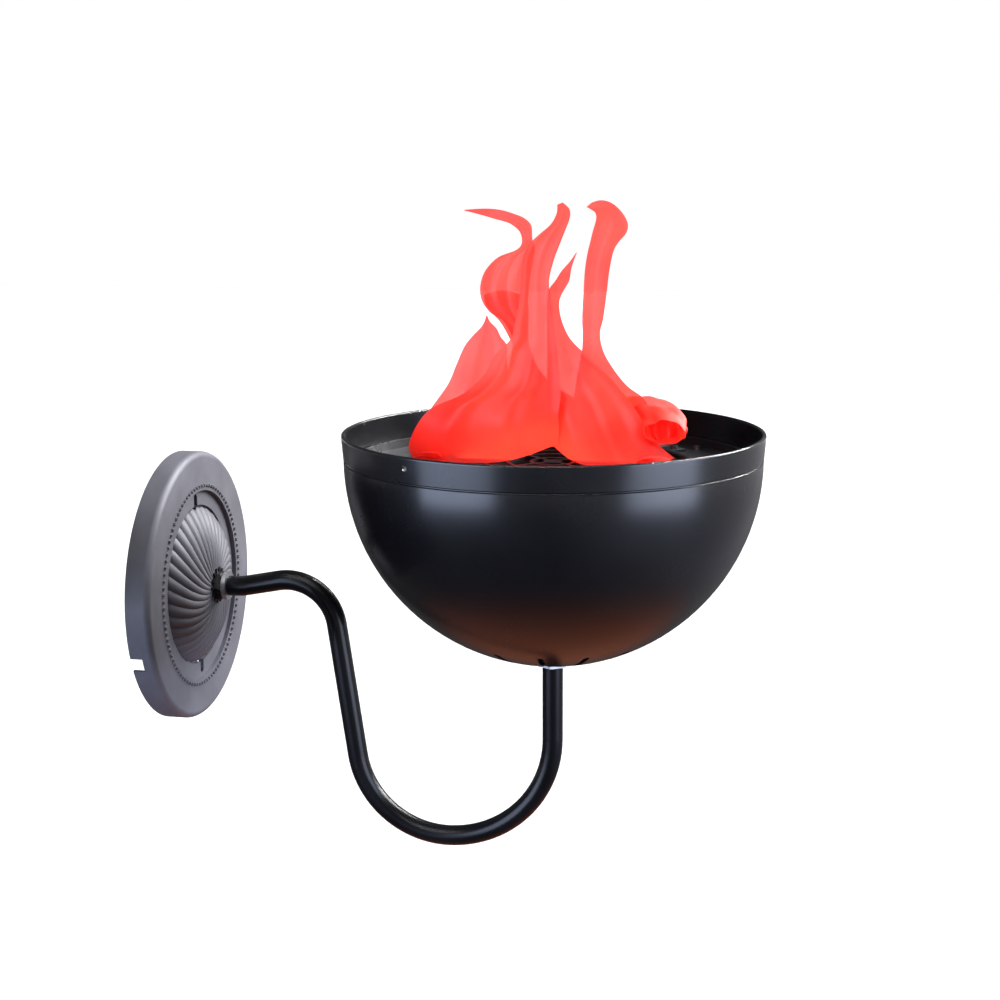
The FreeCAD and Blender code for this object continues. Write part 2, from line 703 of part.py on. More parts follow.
def bowl_shell():
    outside = joined("bowl_outside", half_ball("bowl_ball", s.bowl_radius),
                     cone("bowl_collar", s.bowl_radius, rim_radius(), s.rim_rise))
    inside = joined("bowl_inside", half_ball("bowl_hollow_ball", s.bowl_radius - s.bowl_wall),
                    cone("bowl_hollow_collar", s.bowl_radius - s.bowl_wall, rim_radius() - s.bowl_wall,
                         s.rim_rise))
    shell = cut("bowl_plain_shell", outside, inside)
    doc.recompute()
    rim = [k for k, edge in enumerate(shell.Shape.Edges, 1)
           if edge.BoundBox.ZLength < SAME_PLACE and abs(edge.BoundBox.ZMax
                                                         - float(s.rim_rise)) < SAME_PLACE]
    rounded = doc.addObject("Part::Fillet", "bowl_rounded_shell")
    rounded.Base = shell
    rounded.Edges = [(k, float(s.rim_round), float(s.rim_round)) for k in rim]
    return rounded


def deck_bottom():
    return s.rim_rise - s.deck_below_rim - s.deck_sheet


def deck_top():
    return s.rim_rise - s.deck_below_rim


def bowl_posts():
    """Moulded screw posts for the deck plate and the driver, cut to the inside of the wall."""
    parts = []
    low = deck_bottom() - s.deck_post_length
    post = Part.makeCylinder(float(s.deck_post_radius), float(s.deck_post_length),
                             Vector(0, 0, float(low)))
    rib = Part.makeBox(float(s.bowl_radius - deck_post_circle()), float(s.post_rib),
                       float(s.deck_post_length),
                       Vector(0, -float(s.post_rib) / 2, float(low)))
    pilot = Part.makeCylinder(float(s.screw_pilot_radius), float(s.pilot_depth),
                              Vector(0, 0, float(deck_bottom())), Vector(0, 0, -1))
    parts += around(post.fuse(rib).cut(pilot), deck_post_circle(), 4, SQUARE_START_ANGLE)
    seat = s.driver_seat_rise - s.bowl_radius
    foot = Part.makeCylinder(float(s.driver_post_radius), float(s.driver_seat_rise),
                             Vector(0, 0, -float(s.bowl_radius)))
    pilot = Part.makeCylinder(float(s.screw_pilot_radius), float(s.pilot_depth),
                              Vector(0, 0, float(seat)), Vector(0, 0, -1))
    circle_radius = float(s.driver_post_offset) * SQUARE_CORNER_SHARE
    parts += around(foot.cut(pilot), circle_radius, 4, SQUARE_START_ANGLE)
    posts = shaped("bowl_posts_whole", Part.makeCompound(parts))
    trimmed = doc.addObject("Part::MultiCommon", "bowl_posts")
    trimmed.Shapes = [posts, half_ball("bowl_wall_middle", s.bowl_radius - s.bowl_wall / 2)]
    return trimmed


def bowl():
    flat = s.foot_flat - s.bowl_radius
    pad = cylinder("bowl_foot_pad", s.foot_pad_radius, s.foot_pad_thickness, (0, 0, flat))
    vented = cut("bowl_vented_shell", bowl_shell(), vent_cutters())
    solid = joined("bowl_solid", vented, pad, bowl_posts())
    below = cylinder("bowl_foot_cut", s.foot_pad_radius, s.foot_flat + s.overrun,
                     (0, 0, flat - s.foot_flat - s.overrun))
    hole = cylinder("bowl_foot_hole", s.nipple_radius + s.hole_clearance,
                    s.foot_pad_thickness + s.overrun * 2,
                    (0, 0, flat - s.overrun))
    seam = doc.addObject("Part::Torus", "bowl_seam")
    seam_height = s.rim_rise - s.seam_below_rim
    bind(seam, "Radius1", s.bowl_radius + (rim_radius() - s.bowl_radius) * seam_height / s.rim_rise)
    bind(seam, "Radius2", s.seam_radius)
    place_at(seam, (0, 0, seam_height))
    chain = Part.makeCylinder(float(s.chain_hole_radius), float(s.bowl_wall) * 3,
                              Vector(-float(s.bowl_wall) * 2, 0,
                                     float(s.rim_rise - s.chain_hole_below_rim)),
                              Vector(1, 0, 0))
    chain_holes = shaped("bowl_chain_holes", Part.makeCompound(
        around(chain, rim_radius(), s.chain_hole_count, -90)))
    finished(cut("bowl_moulding", solid, below, hole, seam, chain_holes), "bowl", "bowl")


def deck_plate():
    outer = root((s.bowl_radius - s.bowl_wall) * (s.bowl_radius - s.bowl_wall)
                 - deck_bottom() * deck_bottom()) - s.deck_gap
    lip_top = s.rim_rise - s.deck_lip_below_rim
    plate = turned("deck_blank", [
        (s.air_opening_radius, deck_bottom()), (outer, deck_bottom()), (outer, lip_top),
        (outer - s.deck_lip, lip_top), (outer - s.deck_lip, deck_top()), (s.air_opening_radius,
                                                                          deck_top()),
    ])
    deep = float(s.deck_sheet + s.overrun * 2)
    start = Vector(0, 0, float(deck_bottom() - s.overrun))
    light = Part.makeCylinder(float(s.light_hole_radius), deep, start)
    sides = [Part.makeCylinder(float(s.screw_radius + s.hole_clearance), deep,
                               start + Vector(0, side * float(s.light_screw_out), 0)) for side in (-1, 1)]
    small = Part.makeCylinder(float(s.screw_radius + s.hole_clearance), deep, start)
    fan_hole = Part.makeCylinder(float(s.fan_hole_radius), deep, start)
    holes = around(Part.makeCompound([light] + sides), light_circle(), s.light_count, 0)
    holes += around(small, deck_post_circle(), 4, SQUARE_START_ANGLE)
    holes += around(small, s.hoop_radius + s.clip_screw_out, 4, SQUARE_START_ANGLE)
    holes += around(fan_hole, fan_bolt_circle(), 4, SQUARE_START_ANGLE)
    hole_tool = shaped("deck_holes", Part.makeCompound(holes))
    finished(cut("deck_disc", plate, hole_tool), "deck_plate", "bowl")


def fan_bolt_circle():
    return s.fan_hole_offset * SQUARE_CORNER_SHARE


def fan_bottom():
    return deck_bottom() - s.fan_depth


# Fan under the deck plate
def fan_frame():
    bottom = fan_bottom()
    flange = s.fan_mount_thickness * 2
    whole = block("fan_block", s.fan_square, s.fan_square, s.fan_depth, (0, 0, bottom))
    rounded = doc.addObject("Part::Fillet", "fan_block_rounded")
    doc.recompute()
    rounded.Base = whole
    rounded.Edges = [(k, float(s.fan_corner), float(s.fan_corner))
                     for k, edge in enumerate(whole.Shape.Edges, 1)
                     if abs(edge.tangentAt(edge.FirstParameter).z) > UPRIGHT_SHARE]
    waist = cut("fan_waist", block("fan_waist_block", s.fan_square + s.overrun, s.fan_square + s.overrun,
                                   s.fan_depth - flange * 2, (0, 0, bottom + flange)),
                cylinder("fan_waist_wall", s.fan_square / 2 - s.running_gap, s.fan_depth, (0, 0, bottom)))
    duct = cylinder("fan_duct", s.fan_duct_radius, s.fan_depth, (0, 0, bottom))
    bolt = Part.makeCylinder(float(s.fan_hole_radius), float(s.fan_depth), Vector(0, 0, float(bottom)))
    bolts = shaped("fan_bolt_holes",
                   Part.makeCompound(around(bolt, fan_bolt_circle(), 4, SQUARE_START_ANGLE)))
    ring = cut("fan_square_ring", rounded, waist, duct, bolts)
    mount = cylinder("fan_motor_mount", s.fan_mount_radius, s.fan_mount_thickness, (0, 0, bottom))
    arm = Part.makeBox(float(s.fan_duct_radius - s.fan_mount_radius + s.overrun * 2),
                       float(s.fan_arm_width),
                       float(s.fan_mount_thickness),
                       Vector(-float(s.overrun), -float(s.fan_arm_width) / 2, float(bottom)))
    arms = shaped("fan_arms", Part.makeCompound(around(arm, s.fan_mount_radius, s.fan_arm_count, 0)))
    finished(joined("fan_housing", ring, mount, arms), "fan_frame", "bowl")


def hub_bottom():
    return fan_bottom() + s.fan_mount_thickness + s.hub_bottom_gap


def hub_top():
    return hub_bottom() + s.hub_height


def fan_blade():
    """One blade: a plate that widens and leans from the hub to the duct, cut round at both ends."""
    half_angle = math.radians(float(s.blade_span_angle)) / 2
    thick = float(s.blade_thickness) / 2
    low = float(hub_bottom() + s.blade_margin)
    high = float(hub_top() - s.blade_margin)
    inner = float(s.hub_radius - s.hub_wall)
    outer = float(s.fan_duct_radius)
    sections = []
    for radius in (inner, outer):
        half = radius * math.sin(half_angle)
        spots = [(-half - thick, low), (thick - half, low), (half + thick, high), (half - thick, high)]
        ring = [Vector(radius, t, z) for t, z in spots]
        sections.append(Part.makePolygon(ring + ring[:1]))
    blade = Part.makeLoft(sections, True, True)
    root_cut = Part.makeCylinder(float(s.hub_radius - s.hub_wall / 2), float(s.hub_height) * 2,
                                 Vector(0, 0, float(hub_bottom() - s.hub_height / 2)))
    tall = Part.makeCylinder(outer - float(s.blade_tip_gap), float(s.hub_height),
                             Vector(0, 0, float(hub_bottom())))
    return blade.common(tall).cut(root_cut)


def fan_rotor():
    boss_radius = s.shaft_radius + s.blade_margin
    boss_bottom = hub_top() - s.hub_wall * 3
    inner = s.hub_radius - s.hub_wall
    hub = turned("fan_hub", [
        (s.shaft_radius, hub_top()), (s.hub_radius, hub_top()), (s.hub_radius, hub_bottom()),
        (inner, hub_bottom()), (inner, hub_top() - s.hub_wall), (boss_radius, hub_top() - s.hub_wall),
        (boss_radius, boss_bottom), (s.shaft_radius, boss_bottom),
    ])
    blades = shaped("fan_blades", Part.makeCompound(around(fan_blade(), 0, s.blade_count, 0)))
    finished(joined("fan_impeller", hub, blades), "fan_rotor", "bowl")
    magnet_low = hub_bottom() + s.blade_margin
    magnet = cut("magnet_band", cylinder("magnet_outside", inner, s.magnet_height, (0, 0, magnet_low)),
                 cylinder("magnet_bore", inner - s.magnet_wall, s.magnet_height, (0, 0, magnet_low)))
    finished(magnet, "rotor_magnet", "bowl")
    mount_top = fan_bottom() + s.fan_mount_thickness
    shaft_low = mount_top + s.seat_gap
    pin = cylinder("shaft_pin", s.shaft_radius, hub_top() - shaft_low, (0, 0, shaft_low))
    finished(grouped("shaft_in_place", pin), "fan_shaft", "bowl")


def fan_motor():
    mount_top = fan_bottom() + s.fan_mount_thickness
    boss_bottom = hub_top() - s.hub_wall * 3
    sleeve_top = boss_bottom - s.running_gap
    bore = s.shaft_radius + s.shaft_clearance
    bearings = []
    for name, low in (("lower", mount_top + s.running_gap), ("upper", sleeve_top - s.bearing_width)):
        bearings.append(cut(name + "_bearing", cylinder(name + "_race", s.bearing_radius,
                                                        s.bearing_width, (0, 0, low)),
                            cylinder(name + "_bearing_bore", bore, s.bearing_width, (0, 0, low))))
    finished(grouped("bearing_pair", *bearings), "fan_bearings", "bowl")
    sleeve_radius = s.bearing_radius + s.bearing_tube_wall
    sleeve_height = sleeve_top - mount_top
    sleeve = cut("bearing_sleeve", cylinder("sleeve_outside", sleeve_radius, sleeve_height,
                                            (0, 0, mount_top)),
                 cylinder("sleeve_bore", s.bearing_radius, sleeve_height, (0, 0, mount_top)))
    finished(sleeve, "bearing_tube", "bowl")
    circuit = cut("circuit_ring", cylinder("circuit_disc", s.circuit_radius, s.circuit_thickness,
                                           (0, 0, mount_top)),
                  cylinder("circuit_bore", sleeve_radius, s.circuit_thickness, (0, 0, mount_top)))
    finished(circuit, "fan_board", "bowl")
    core_low = mount_top + s.circuit_thickness + s.coil_wall + s.running_gap
    pole = Part.makeBox(float(s.stator_radius - s.bearing_radius), float(s.pole_width),
                        float(s.stator_height),
                        Vector(float(s.bearing_radius), -float(s.pole_width) / 2, float(core_low)))
    yoke_radius = sleeve_radius + s.bearing_tube_wall * 2
    poles = shaped("stator_poles", Part.makeCompound(around(pole, 0, s.pole_count, 0)))
    ring = cylinder("stator_yoke", yoke_radius, s.stator_height, (0, 0, core_low))
    bound = doc.addObject("Part::MultiCommon", "stator_star")
    bound.Shapes = [joined("stator_solid", ring, poles),
                    cylinder("stator_limit", s.stator_radius, s.stator_height, (0, 0, core_low))]
    finished(cut("stator_core", bound, cylinder("stator_bore", sleeve_radius, s.stator_height,
                                                (0, 0, core_low))),
             "fan_stator", "bowl")
    wall = float(s.coil_wall)
    out = float(s.stator_radius - yoke_radius) * COIL_SHARE
    middle = (float(s.stator_radius) + float(yoke_radius)) / 2
    outer_box = Part.makeBox(out, float(s.pole_width) + 2 * wall, float(s.stator_height) + 2 * wall,
                             Vector(middle - out / 2, -float(s.pole_width) / 2 - wall,
                                    float(core_low) - wall))
    hole_box = Part.makeBox(out, float(s.pole_width), float(s.stator_height),
                            Vector(middle - out / 2, -float(s.pole_width) / 2, float(core_low)))
    coils = Part.makeCompound(around(outer_box.cut(hole_box), 0, s.pole_count, 0))
    finished(shaped("stator_windings", coils), "fan_coils", "bowl")


COIL_SHARE = 0.55


def finger_guard():
    """A flat grille over the air opening with four lugs under the fan screws."""
    width = float(s.guard_wire)
    rise = float(s.hoop_wire_radius) * 2
    low = Vector(0, 0, float(deck_top()))
    parts = []
    count = int(float(s.guard_ring_count))
    for k in range(1, count + 1):
        radius = float(s.air_opening_radius) * k / count
        ring = Part.makeCylinder(radius, rise, low)
        parts.append(ring.cut(Part.makeCylinder(radius - width, rise, low)))
    circle_radius = float(fan_bolt_circle())
    spoke = Part.makeBox(circle_radius, width, rise, low - Vector(0, width / 2, 0))
    lug = Part.makeCylinder(float(s.guard_lug_radius), rise, low + Vector(circle_radius, 0, 0))
    hub = Part.makeCylinder(float(s.guard_lug_radius), rise, low)
    hole = Part.makeCylinder(float(s.fan_hole_radius), rise, low + Vector(circle_radius, 0, 0))
    lugs = around(spoke.fuse(lug), 0, 4, SQUARE_START_ANGLE)
    grille = hub.fuse(parts + lugs)
    grille = grille.cut(Part.makeCompound(around(hole, 0, 4, SQUARE_START_ANGLE)))
    finished(shaped("guard_grille", grille), "finger_guard", "bowl")


def fan_fixings():
    guard_top = float(deck_top()) + 2 * float(s.hoop_wire_radius)
    reach_down = guard_top - float(fan_bottom()) + float(s.fan_nut_thickness)
    screw = screw_shape(s.fan_head_radius, s.screw_head_height, s.fan_screw_radius, reach_down)
    screw.translate(Vector(0, 0, guard_top))
    finished(shaped("fan_screw_set",
                    Part.makeCompound(around(screw, fan_bolt_circle(), 4, SQUARE_START_ANGLE))),
             "fan_screws", "bowl")
    outline = hexagon(float(s.fan_nut_across) * HEXAGON_CORNER_SHARE, 0)
    nut = Part.Face(outline).extrude(Vector(0, 0, float(s.fan_nut_thickness)))
    nut = nut.cut(Part.makeCylinder(float(s.fan_screw_radius), float(s.fan_nut_thickness)))
    nut.translate(Vector(0, 0, float(fan_bottom() - s.fan_nut_thickness)))
    finished(shaped("fan_nut_set",
                    Part.makeCompound(around(nut, fan_bolt_circle(), 4, SQUARE_START_ANGLE))),
             "fan_nuts", "bowl")


# Silk hoop: the wire that the silk is sewn to, under four clips
def hoop_and_clips():
    hoop = doc.addObject("Part::Torus", "hoop_wire")
    bind(hoop, "Radius1", s.hoop_radius)
    bind(hoop, "Radius2", s.hoop_wire_radius)
    place_at(hoop, (0, 0, deck_top() + s.hoop_wire_radius))
    finished(grouped("hoop_in_place", hoop), "silk_hoop", "bowl")

    wire = float(s.hoop_wire_radius)
    wall = float(s.clip_wall)
    width = float(s.clip_width)
    floor_height = float(deck_top())
    hood = Part.makeBox(2 * (wire + wall), width, 2 * wire + wall,
                        Vector(-wire - wall, -width / 2, floor_height))
    tail = Part.makeBox(float(s.clip_length), width, wall, Vector(-wire - wall, -width / 2, floor_height))
    screw_spot = Vector(float(s.clip_screw_out), 0, floor_height)
    hole = Part.makeCylinder(float(s.screw_radius + s.hole_clearance), wall, screw_spot)
    bore = Part.makeTorus(float(s.hoop_radius), wire + float(s.hole_clearance))
    bore.translate(Vector(-float(s.hoop_radius), 0, floor_height + wire))
    clip = hood.fuse(tail).cut(hole).cut(bore)
    solids = sorted(clip.Solids, key=lambda solid: solid.Volume)
    clips = around(solids[-1], s.hoop_radius, 4, SQUARE_START_ANGLE)
    finished(shaped("hoop_clip_set", Part.makeCompound(clips)), "hoop_clips", "bowl")
    screw = screw_shape(s.screw_head_radius, s.screw_head_height, s.screw_radius, s.screw_length)
    screw.translate(screw_spot + Vector(0, 0, wall))
    finished(shaped("clip_screw_set",
                    Part.makeCompound(around(screw, s.hoop_radius, 4, SQUARE_START_ANGLE))),
             "clip_screws", "bowl")


def deck_fixings():
    screw = screw_shape(s.screw_head_radius, s.screw_head_height, s.screw_radius, s.screw_length)
    deck = screw.copy()
    deck.translate(Vector(0, 0, float(deck_top())))
    finished(shaped("deck_screw_set",
                    Part.makeCompound(around(deck, deck_post_circle(), 4, SQUARE_START_ANGLE))),
             "deck_screws", "bowl")
    driver = screw.copy()
    driver.translate(Vector(0, 0, float(s.driver_seat_rise - s.bowl_radius + s.driver_plate)))
    circle_radius = float(s.driver_post_offset) * SQUARE_CORNER_SHARE
    finished(shaped("driver_screw_set",
                    Part.makeCompound(around(driver, circle_radius, 4, SQUARE_START_ANGLE))),
             "driver_screws", "bowl")


# Light modules: a lens, an emitter board and a finned sink under each hole of the deck
def light_modules():
    lens_low = deck_top() + s.running_gap - s.lens_height
    board_top = lens_low - s.emitter_height
    board_low = board_top - s.board_thickness
    sink_low = board_low - s.sink_height
    lens = Part.makeCone(float(s.lens_base_radius), float(s.lens_top_radius), float(s.lens_height),
                         Vector(0, 0, float(lens_low)))
    board = Part.makeCylinder(float(s.board_radius), float(s.board_thickness),
                              Vector(0, 0, float(board_low)))
    emitter = Part.makeCylinder(float(s.emitter_radius), float(s.emitter_height),
                                Vector(0, 0, float(board_top)))
    sink = Part.makeCylinder(float(s.board_radius), float(s.sink_height), Vector(0, 0, float(sink_low)))
    count = int(float(s.sink_fin_count))
    pitch = 2 * float(s.board_radius) / count
    for k in range(1, count):
        gap = float(s.sink_fin_gap)
        slot = Part.makeBox(2 * float(s.board_radius), gap, float(s.sink_height - s.sink_base),
                            Vector(-float(s.board_radius), pitch * k - float(s.board_radius) - gap / 2,
                                   float(sink_low)))
        sink = sink.cut(slot)
    sides = [Vector(0, side * float(s.light_screw_out), 0) for side in (-1, 1)]
    reach_down = float(deck_top() - board_low) + float(s.sink_base) * SCREW_GRIP_SHARE
    screws = []
    spacers = []
    spacer_height = float(deck_bottom() - board_top)
    for side in sides:
        screw = screw_shape(s.screw_head_radius, s.screw_head_height, s.screw_radius, reach_down)
        screw.translate(side + Vector(0, 0, float(deck_top())))
        screws.append(screw)
        spacer = Part.makeCylinder(float(s.light_spacer_radius), spacer_height,
                                   side + Vector(0, 0, float(board_top)))
        spacers.append(spacer.cut(Part.makeCylinder(float(s.screw_radius + s.hole_clearance),
                                                    spacer_height,
                                                    side + Vector(0, 0, float(board_top)))))
        clear = Part.makeCylinder(float(s.screw_radius + s.hole_clearance), reach_down,
                                  side + Vector(0, 0, float(deck_top()) - reach_down))
        board = board.cut(clear)
        sink = sink.cut(clear)
    for label, shape in (("light_lenses", lens), ("light_boards", board.fuse(emitter)),
                         ("light_heat_sinks", sink),
                         ("light_screws", Part.makeCompound(screws)),
                         ("light_spacers", Part.makeCompound(spacers))):
        copies = Part.makeCompound(around(shape, light_circle(), s.light_count, 0))
        finished(shaped(label + "_set", copies), label, "bowl")
    return sink_low


# Driver on its posts in the foot of the bowl
def driver():
    seat = s.driver_seat_rise - s.bowl_radius
    top = seat + s.driver_plate
    board_low = top + s.driver_board_gap
    ear = s.driver_post_offset
    plate = block("driver_plate_blank", s.driver_ear * 2, s.driver_ear * 2, s.driver_plate, (0, 0, seat))
    hole = s.screw_radius + s.hole_clearance
    holes = [cylinder("driver_ear_hole_%d" % k, hole, s.driver_plate, (ear * x, ear * y, seat))
             for k, (x, y) in enumerate(((-1, -1), (-1, 1), (1, -1), (1, 1)))]
    lead_hole = cylinder("driver_lead_hole", s.lead_radius + s.hole_clearance, s.driver_plate,
                         (0, 0, seat))
    board_length = s.driver_length - s.driver_wall * 4
    board_width = s.driver_width - s.driver_wall * 4
    pegs = [cylinder("driver_peg_%d" % k, s.driver_wall, s.driver_board_gap,
                     (board_length / 2 * x - s.driver_wall * CASE_SCREW_SHARE * x,
                      board_width / 2 * y - s.driver_wall * CASE_SCREW_SHARE * y, top))
            for k, (x, y) in enumerate(((-1, -1), (-1, 1), (1, -1), (1, 1)))]
    finished(joined("driver_plate_set", cut("driver_plate_cut", plate, lead_hole, *holes), *pegs),
             "driver_base", "bowl")
    board = block("driver_board_blank", board_length, board_width, s.board_thickness, (0, 0, board_low))
    finished(grouped("driver_board_in_place", board), "driver_board", "bowl")
    parts_low = board_low + s.board_thickness
    quarter = board_length / 4
    transformer_corner = Vector(float(quarter) * TRANSFORMER_PLACE_SHARE, -float(board_width) / 4,
                                float(parts_low))
    transformer = Part.makeBox(float(quarter * TRANSFORMER_LENGTH_SHARE), float(board_width / 2),
                               float(s.driver_height / 2), transformer_corner)
    capacitor = Part.makeCylinder(float(s.driver_board_gap), float(s.driver_height / 2),
                                  Vector(-float(quarter), 0, float(parts_low)))
    finished(shaped("transformer_block", transformer), "driver_transformer", "bowl")
    finished(shaped("capacitor_can", capacitor), "driver_capacitor", "bowl")
    cover = cut("driver_box", block("driver_box_outside", s.driver_length, s.driver_width,
                                    s.driver_height, (0, 0, top)),
                block("driver_box_inside", s.driver_length - s.driver_wall * 2,
                      s.driver_width - s.driver_wall * 2,
                      s.driver_height - s.driver_wall, (0, 0, top)))
    finished(cover, "driver_cover", "bowl")
    return top + s.driver_height


def inner_leads(cover_top, sink_low):
    """Leads from the driver up to the fan and out to the three light modules."""
    fan_lead = cylinder("fan_lead_core", s.wire_radius, fan_bottom() - cover_top, (0, 0, cover_top))
    finished(grouped("fan_lead_in_place", fan_lead), "fan_lead", "bowl")
    near = float(s.driver_width) / 3
    far = float(light_circle())
    low = float(cover_top)
    high = float(sink_low)
    bend = float(s.wire_bend_radius)
    level = low + bend + float(s.wire_radius)
    quarter = bend / SQUARE_CORNER_SHARE
    path = Part.Wire([
        Part.LineSegment(Vector(near, 0, low), Vector(near, 0, level - bend)).toShape(),
        Part.Arc(Vector(near, 0, level - bend), Vector(near + bend - quarter, 0, level - bend + quarter),
                 Vector(near + bend, 0, level)).toShape(),
        Part.LineSegment(Vector(near + bend, 0, level), Vector(far - bend, 0, level)).toShape(),
        Part.Arc(Vector(far - bend, 0, level), Vector(far - bend + quarter, 0, level + bend - quarter),
                 Vector(far, 0, level + bend)).toShape(),
        Part.LineSegment(Vector(far, 0, level + bend), Vector(far, 0, high)).toShape(),
    ])
    ring = Part.Wire(Part.makeCircle(float(s.wire_radius), Vector(near, 0, low), Vector(0, 0, 1)))
    lead = path.makePipeShell([ring], True, False)
    finished(shaped("light_lead_set", Part.makeCompound(around(lead, 0, s.light_count, 0))),
             "light_leads", "bowl")


# Silk flame: thin sheets, each a loft through sections from its hem to its tip. A section is
# (out 0, height 0, out 1, height 1, depth 0, depth 1, bow), as shares of the flame's half width,
# height and depth; out runs away from the wall and depth away from the side that shows
FRONT_SHARES = [
    (-0.97, 0.000, 0.70, 0.000, -0.15, -0.20, -0.30),
    (-0.83, 0.150, 0.52, 0.150, -0.15, -0.20, -0.30),
    (-0.60, 0.300, 0.36, 0.300, -0.13, -0.15, -0.25),
    (-0.37, 0.460, 0.17, 0.460, -0.10, -0.10, -0.20),
    (-0.27, 0.620, 0.05, 0.620, -0.08, -0.08, -0.12),
    (-0.24, 0.760, 0.00, 0.760, -0.08, -0.10, -0.08),
    (-0.16, 0.860, 0.05, 0.880, -0.10, -0.14, -0.05),
    (0.00, 0.930, 0.12, 0.960, -0.14, -0.18, -0.03),
    (0.03, 0.990, 0.07, 1.000, -0.20, -0.20, -0.01),
]
LEFT_SHARES = [
    (-1.05, 0.000, -0.30, 0.000, 0.20, 0.25, 0.14),
    (-0.93, 0.160, -0.30, 0.160, 0.20, 0.25, 0.14),
    (-0.76, 0.290, -0.28, 0.290, 0.20, 0.25, 0.12),
    (-0.66, 0.420, -0.26, 0.420, 0.20, 0.25, 0.10),
    (-0.52, 0.500, -0.32, 0.480, 0.22, 0.25, 0.05),
    (-0.48, 0.550, -0.42, 0.545, 0.24, 0.25, 0.02),
]
BACK_SHARES = [
    (-0.60, 0.000, 0.45, 0.000, 0.65, 0.65, 0.35),
    (-0.50, 0.200, 0.33, 0.200, 0.60, 0.60, 0.33),
    (-0.38, 0.400, 0.15, 0.400, 0.52, 0.52, 0.25),
    (-0.44, 0.540, 0.02, 0.540, 0.42, 0.42, 0.20),
    (-0.53, 0.640, -0.03, 0.640, 0.36, 0.36, 0.20),
    (-0.44, 0.760, -0.12, 0.760, 0.34, 0.34, 0.12),
    (-0.26, 0.820, -0.17, 0.820, 0.32, 0.32, 0.04),
    (-0.24, 0.870, -0.16, 0.890, 0.30, 0.32, 0.03),
    (-0.33, 0.905, -0.28, 0.950, 0.28, 0.30, 0.03),
    (-0.50, 0.935, -0.48, 0.965, 0.24, 0.26, 0.02),
    (-0.64, 0.955, -0.645, 0.965, 0.22, 0.22, 0.01),
]
RIGHT_SHARES = [
    (0.10, 0.000, 0.90, 0.000, 0.40, 0.10, 0.22),
    (0.14, 0.140, 0.74, 0.140, 0.40, 0.16, 0.20),
    (0.18, 0.280, 0.52, 0.280, 0.38, 0.22, 0.16),
    (0.21, 0.420, 0.37, 0.420, 0.34, 0.28, 0.08),
    (0.21, 0.560, 0.37, 0.560, 0.32, 0.28, 0.07),
    (0.22, 0.700, 0.41, 0.700, 0.30, 0.28, 0.08),
    (0.26, 0.820, 0.46, 0.810, 0.30, 0.26, 0.10),
    (0.30, 0.900, 0.54, 0.870, 0.32, 0.24, 0.12),
    (0.31, 0.950, 0.52, 0.940, 0.34, 0.24, 0.12),
    (0.31, 0.975, 0.42, 0.995, 0.36, 0.28, 0.05),
]
MIDDLE_SHARES = [
    (-0.15, 0.000, 0.53, 0.000, 0.05, 0.02, 0.05),
    (-0.10, 0.200, 0.42, 0.200, 0.05, 0.04, 0.05),
    (-0.06, 0.400, 0.20, 0.400, 0.05, 0.05, 0.04),
    (-0.05, 0.560, 0.05, 0.560, 0.06, 0.06, 0.03),
    (-0.02, 0.660, 0.09, 0.650, 0.06, 0.06, 0.02),
    (0.06, 0.720, 0.13, 0.710, 0.07, 0.07, 0.01),
    (0.155, 0.790, 0.17, 0.790, 0.08, 0.08, 0.005),
]
FOLD_SHARES = [
    (0.62, 0.060, 0.96, 0.100, -0.155, -0.16, -0.10),
    (0.61, 0.120, 0.97, 0.130, -0.10, -0.18, -0.20),
    (0.62, 0.180, 0.95, 0.160, -0.10, -0.18, -0.20),
    (0.64, 0.230, 0.90, 0.200, -0.06, -0.12, -0.10),
]


def silk_section(shares):
    """Two arcs side by side across the sheet, which bow the same way and so leave a fold between."""
    out0, height0, out1, height1, depth0, depth1, bow = shares
    half_width = float(s.flame_half_width)
    depth = float(s.flame_depth)
    low = silk_low()
    height = float(s.flame_height) - low

    def spot(t, bulge):
        return Vector((depth0 + (depth1 - depth0) * t + bulge) * depth,
                      -(out0 + (out1 - out0) * t) * half_width,
                      low + (height0 + (height1 - height0) * t) * height)

    middle = spot(0.5, bow * FOLD_DIP_SHARE)
    return Part.Wire([Part.Arc(spot(0, 0), spot(0.25, bow), middle).toShape(),
                      Part.Arc(middle, spot(0.75, bow), spot(1, 0)).toShape()])


def silk_low():
    return float(deck_top()) + 2 * float(s.hoop_wire_radius) + float(s.seat_gap)


FOLD_DIP_SHARE = 0.45


def thickened(shell, thickness):
    """A closed solid between a sheet, its copy further back, and strips along the sheet's rims."""
    back = Vector(float(thickness), 0, 0)
    copy = shell.copy()
    copy.translate(back)
    rims = [edge for edge in shell.Edges
            if len([face for face in shell.Faces if any(edge.isSame(side) for side in face.Edges)]) == 1]
    skin = Part.makeShell(shell.Faces + copy.Faces + [edge.extrude(back) for edge in rims])
    skin.sewShape()
    solid = Part.makeSolid(skin)
    if solid.Volume < 0:
        solid.reverse()
    return solid


def silk_flame():
    for label, table in (("silk_front", FRONT_SHARES), ("silk_left", LEFT_SHARES),
                         ("silk_back", BACK_SHARES),
                         ("silk_right", RIGHT_SHARES), ("silk_middle", MIDDLE_SHARES), ("silk_fold",
                                                                                        FOLD_SHARES)):
        face = Part.makeLoft([silk_section(shares) for shares in table], False, True)
        finished(shaped(label + "_cloth", thickened(face, s.silk_thickness)), label, "bowl")


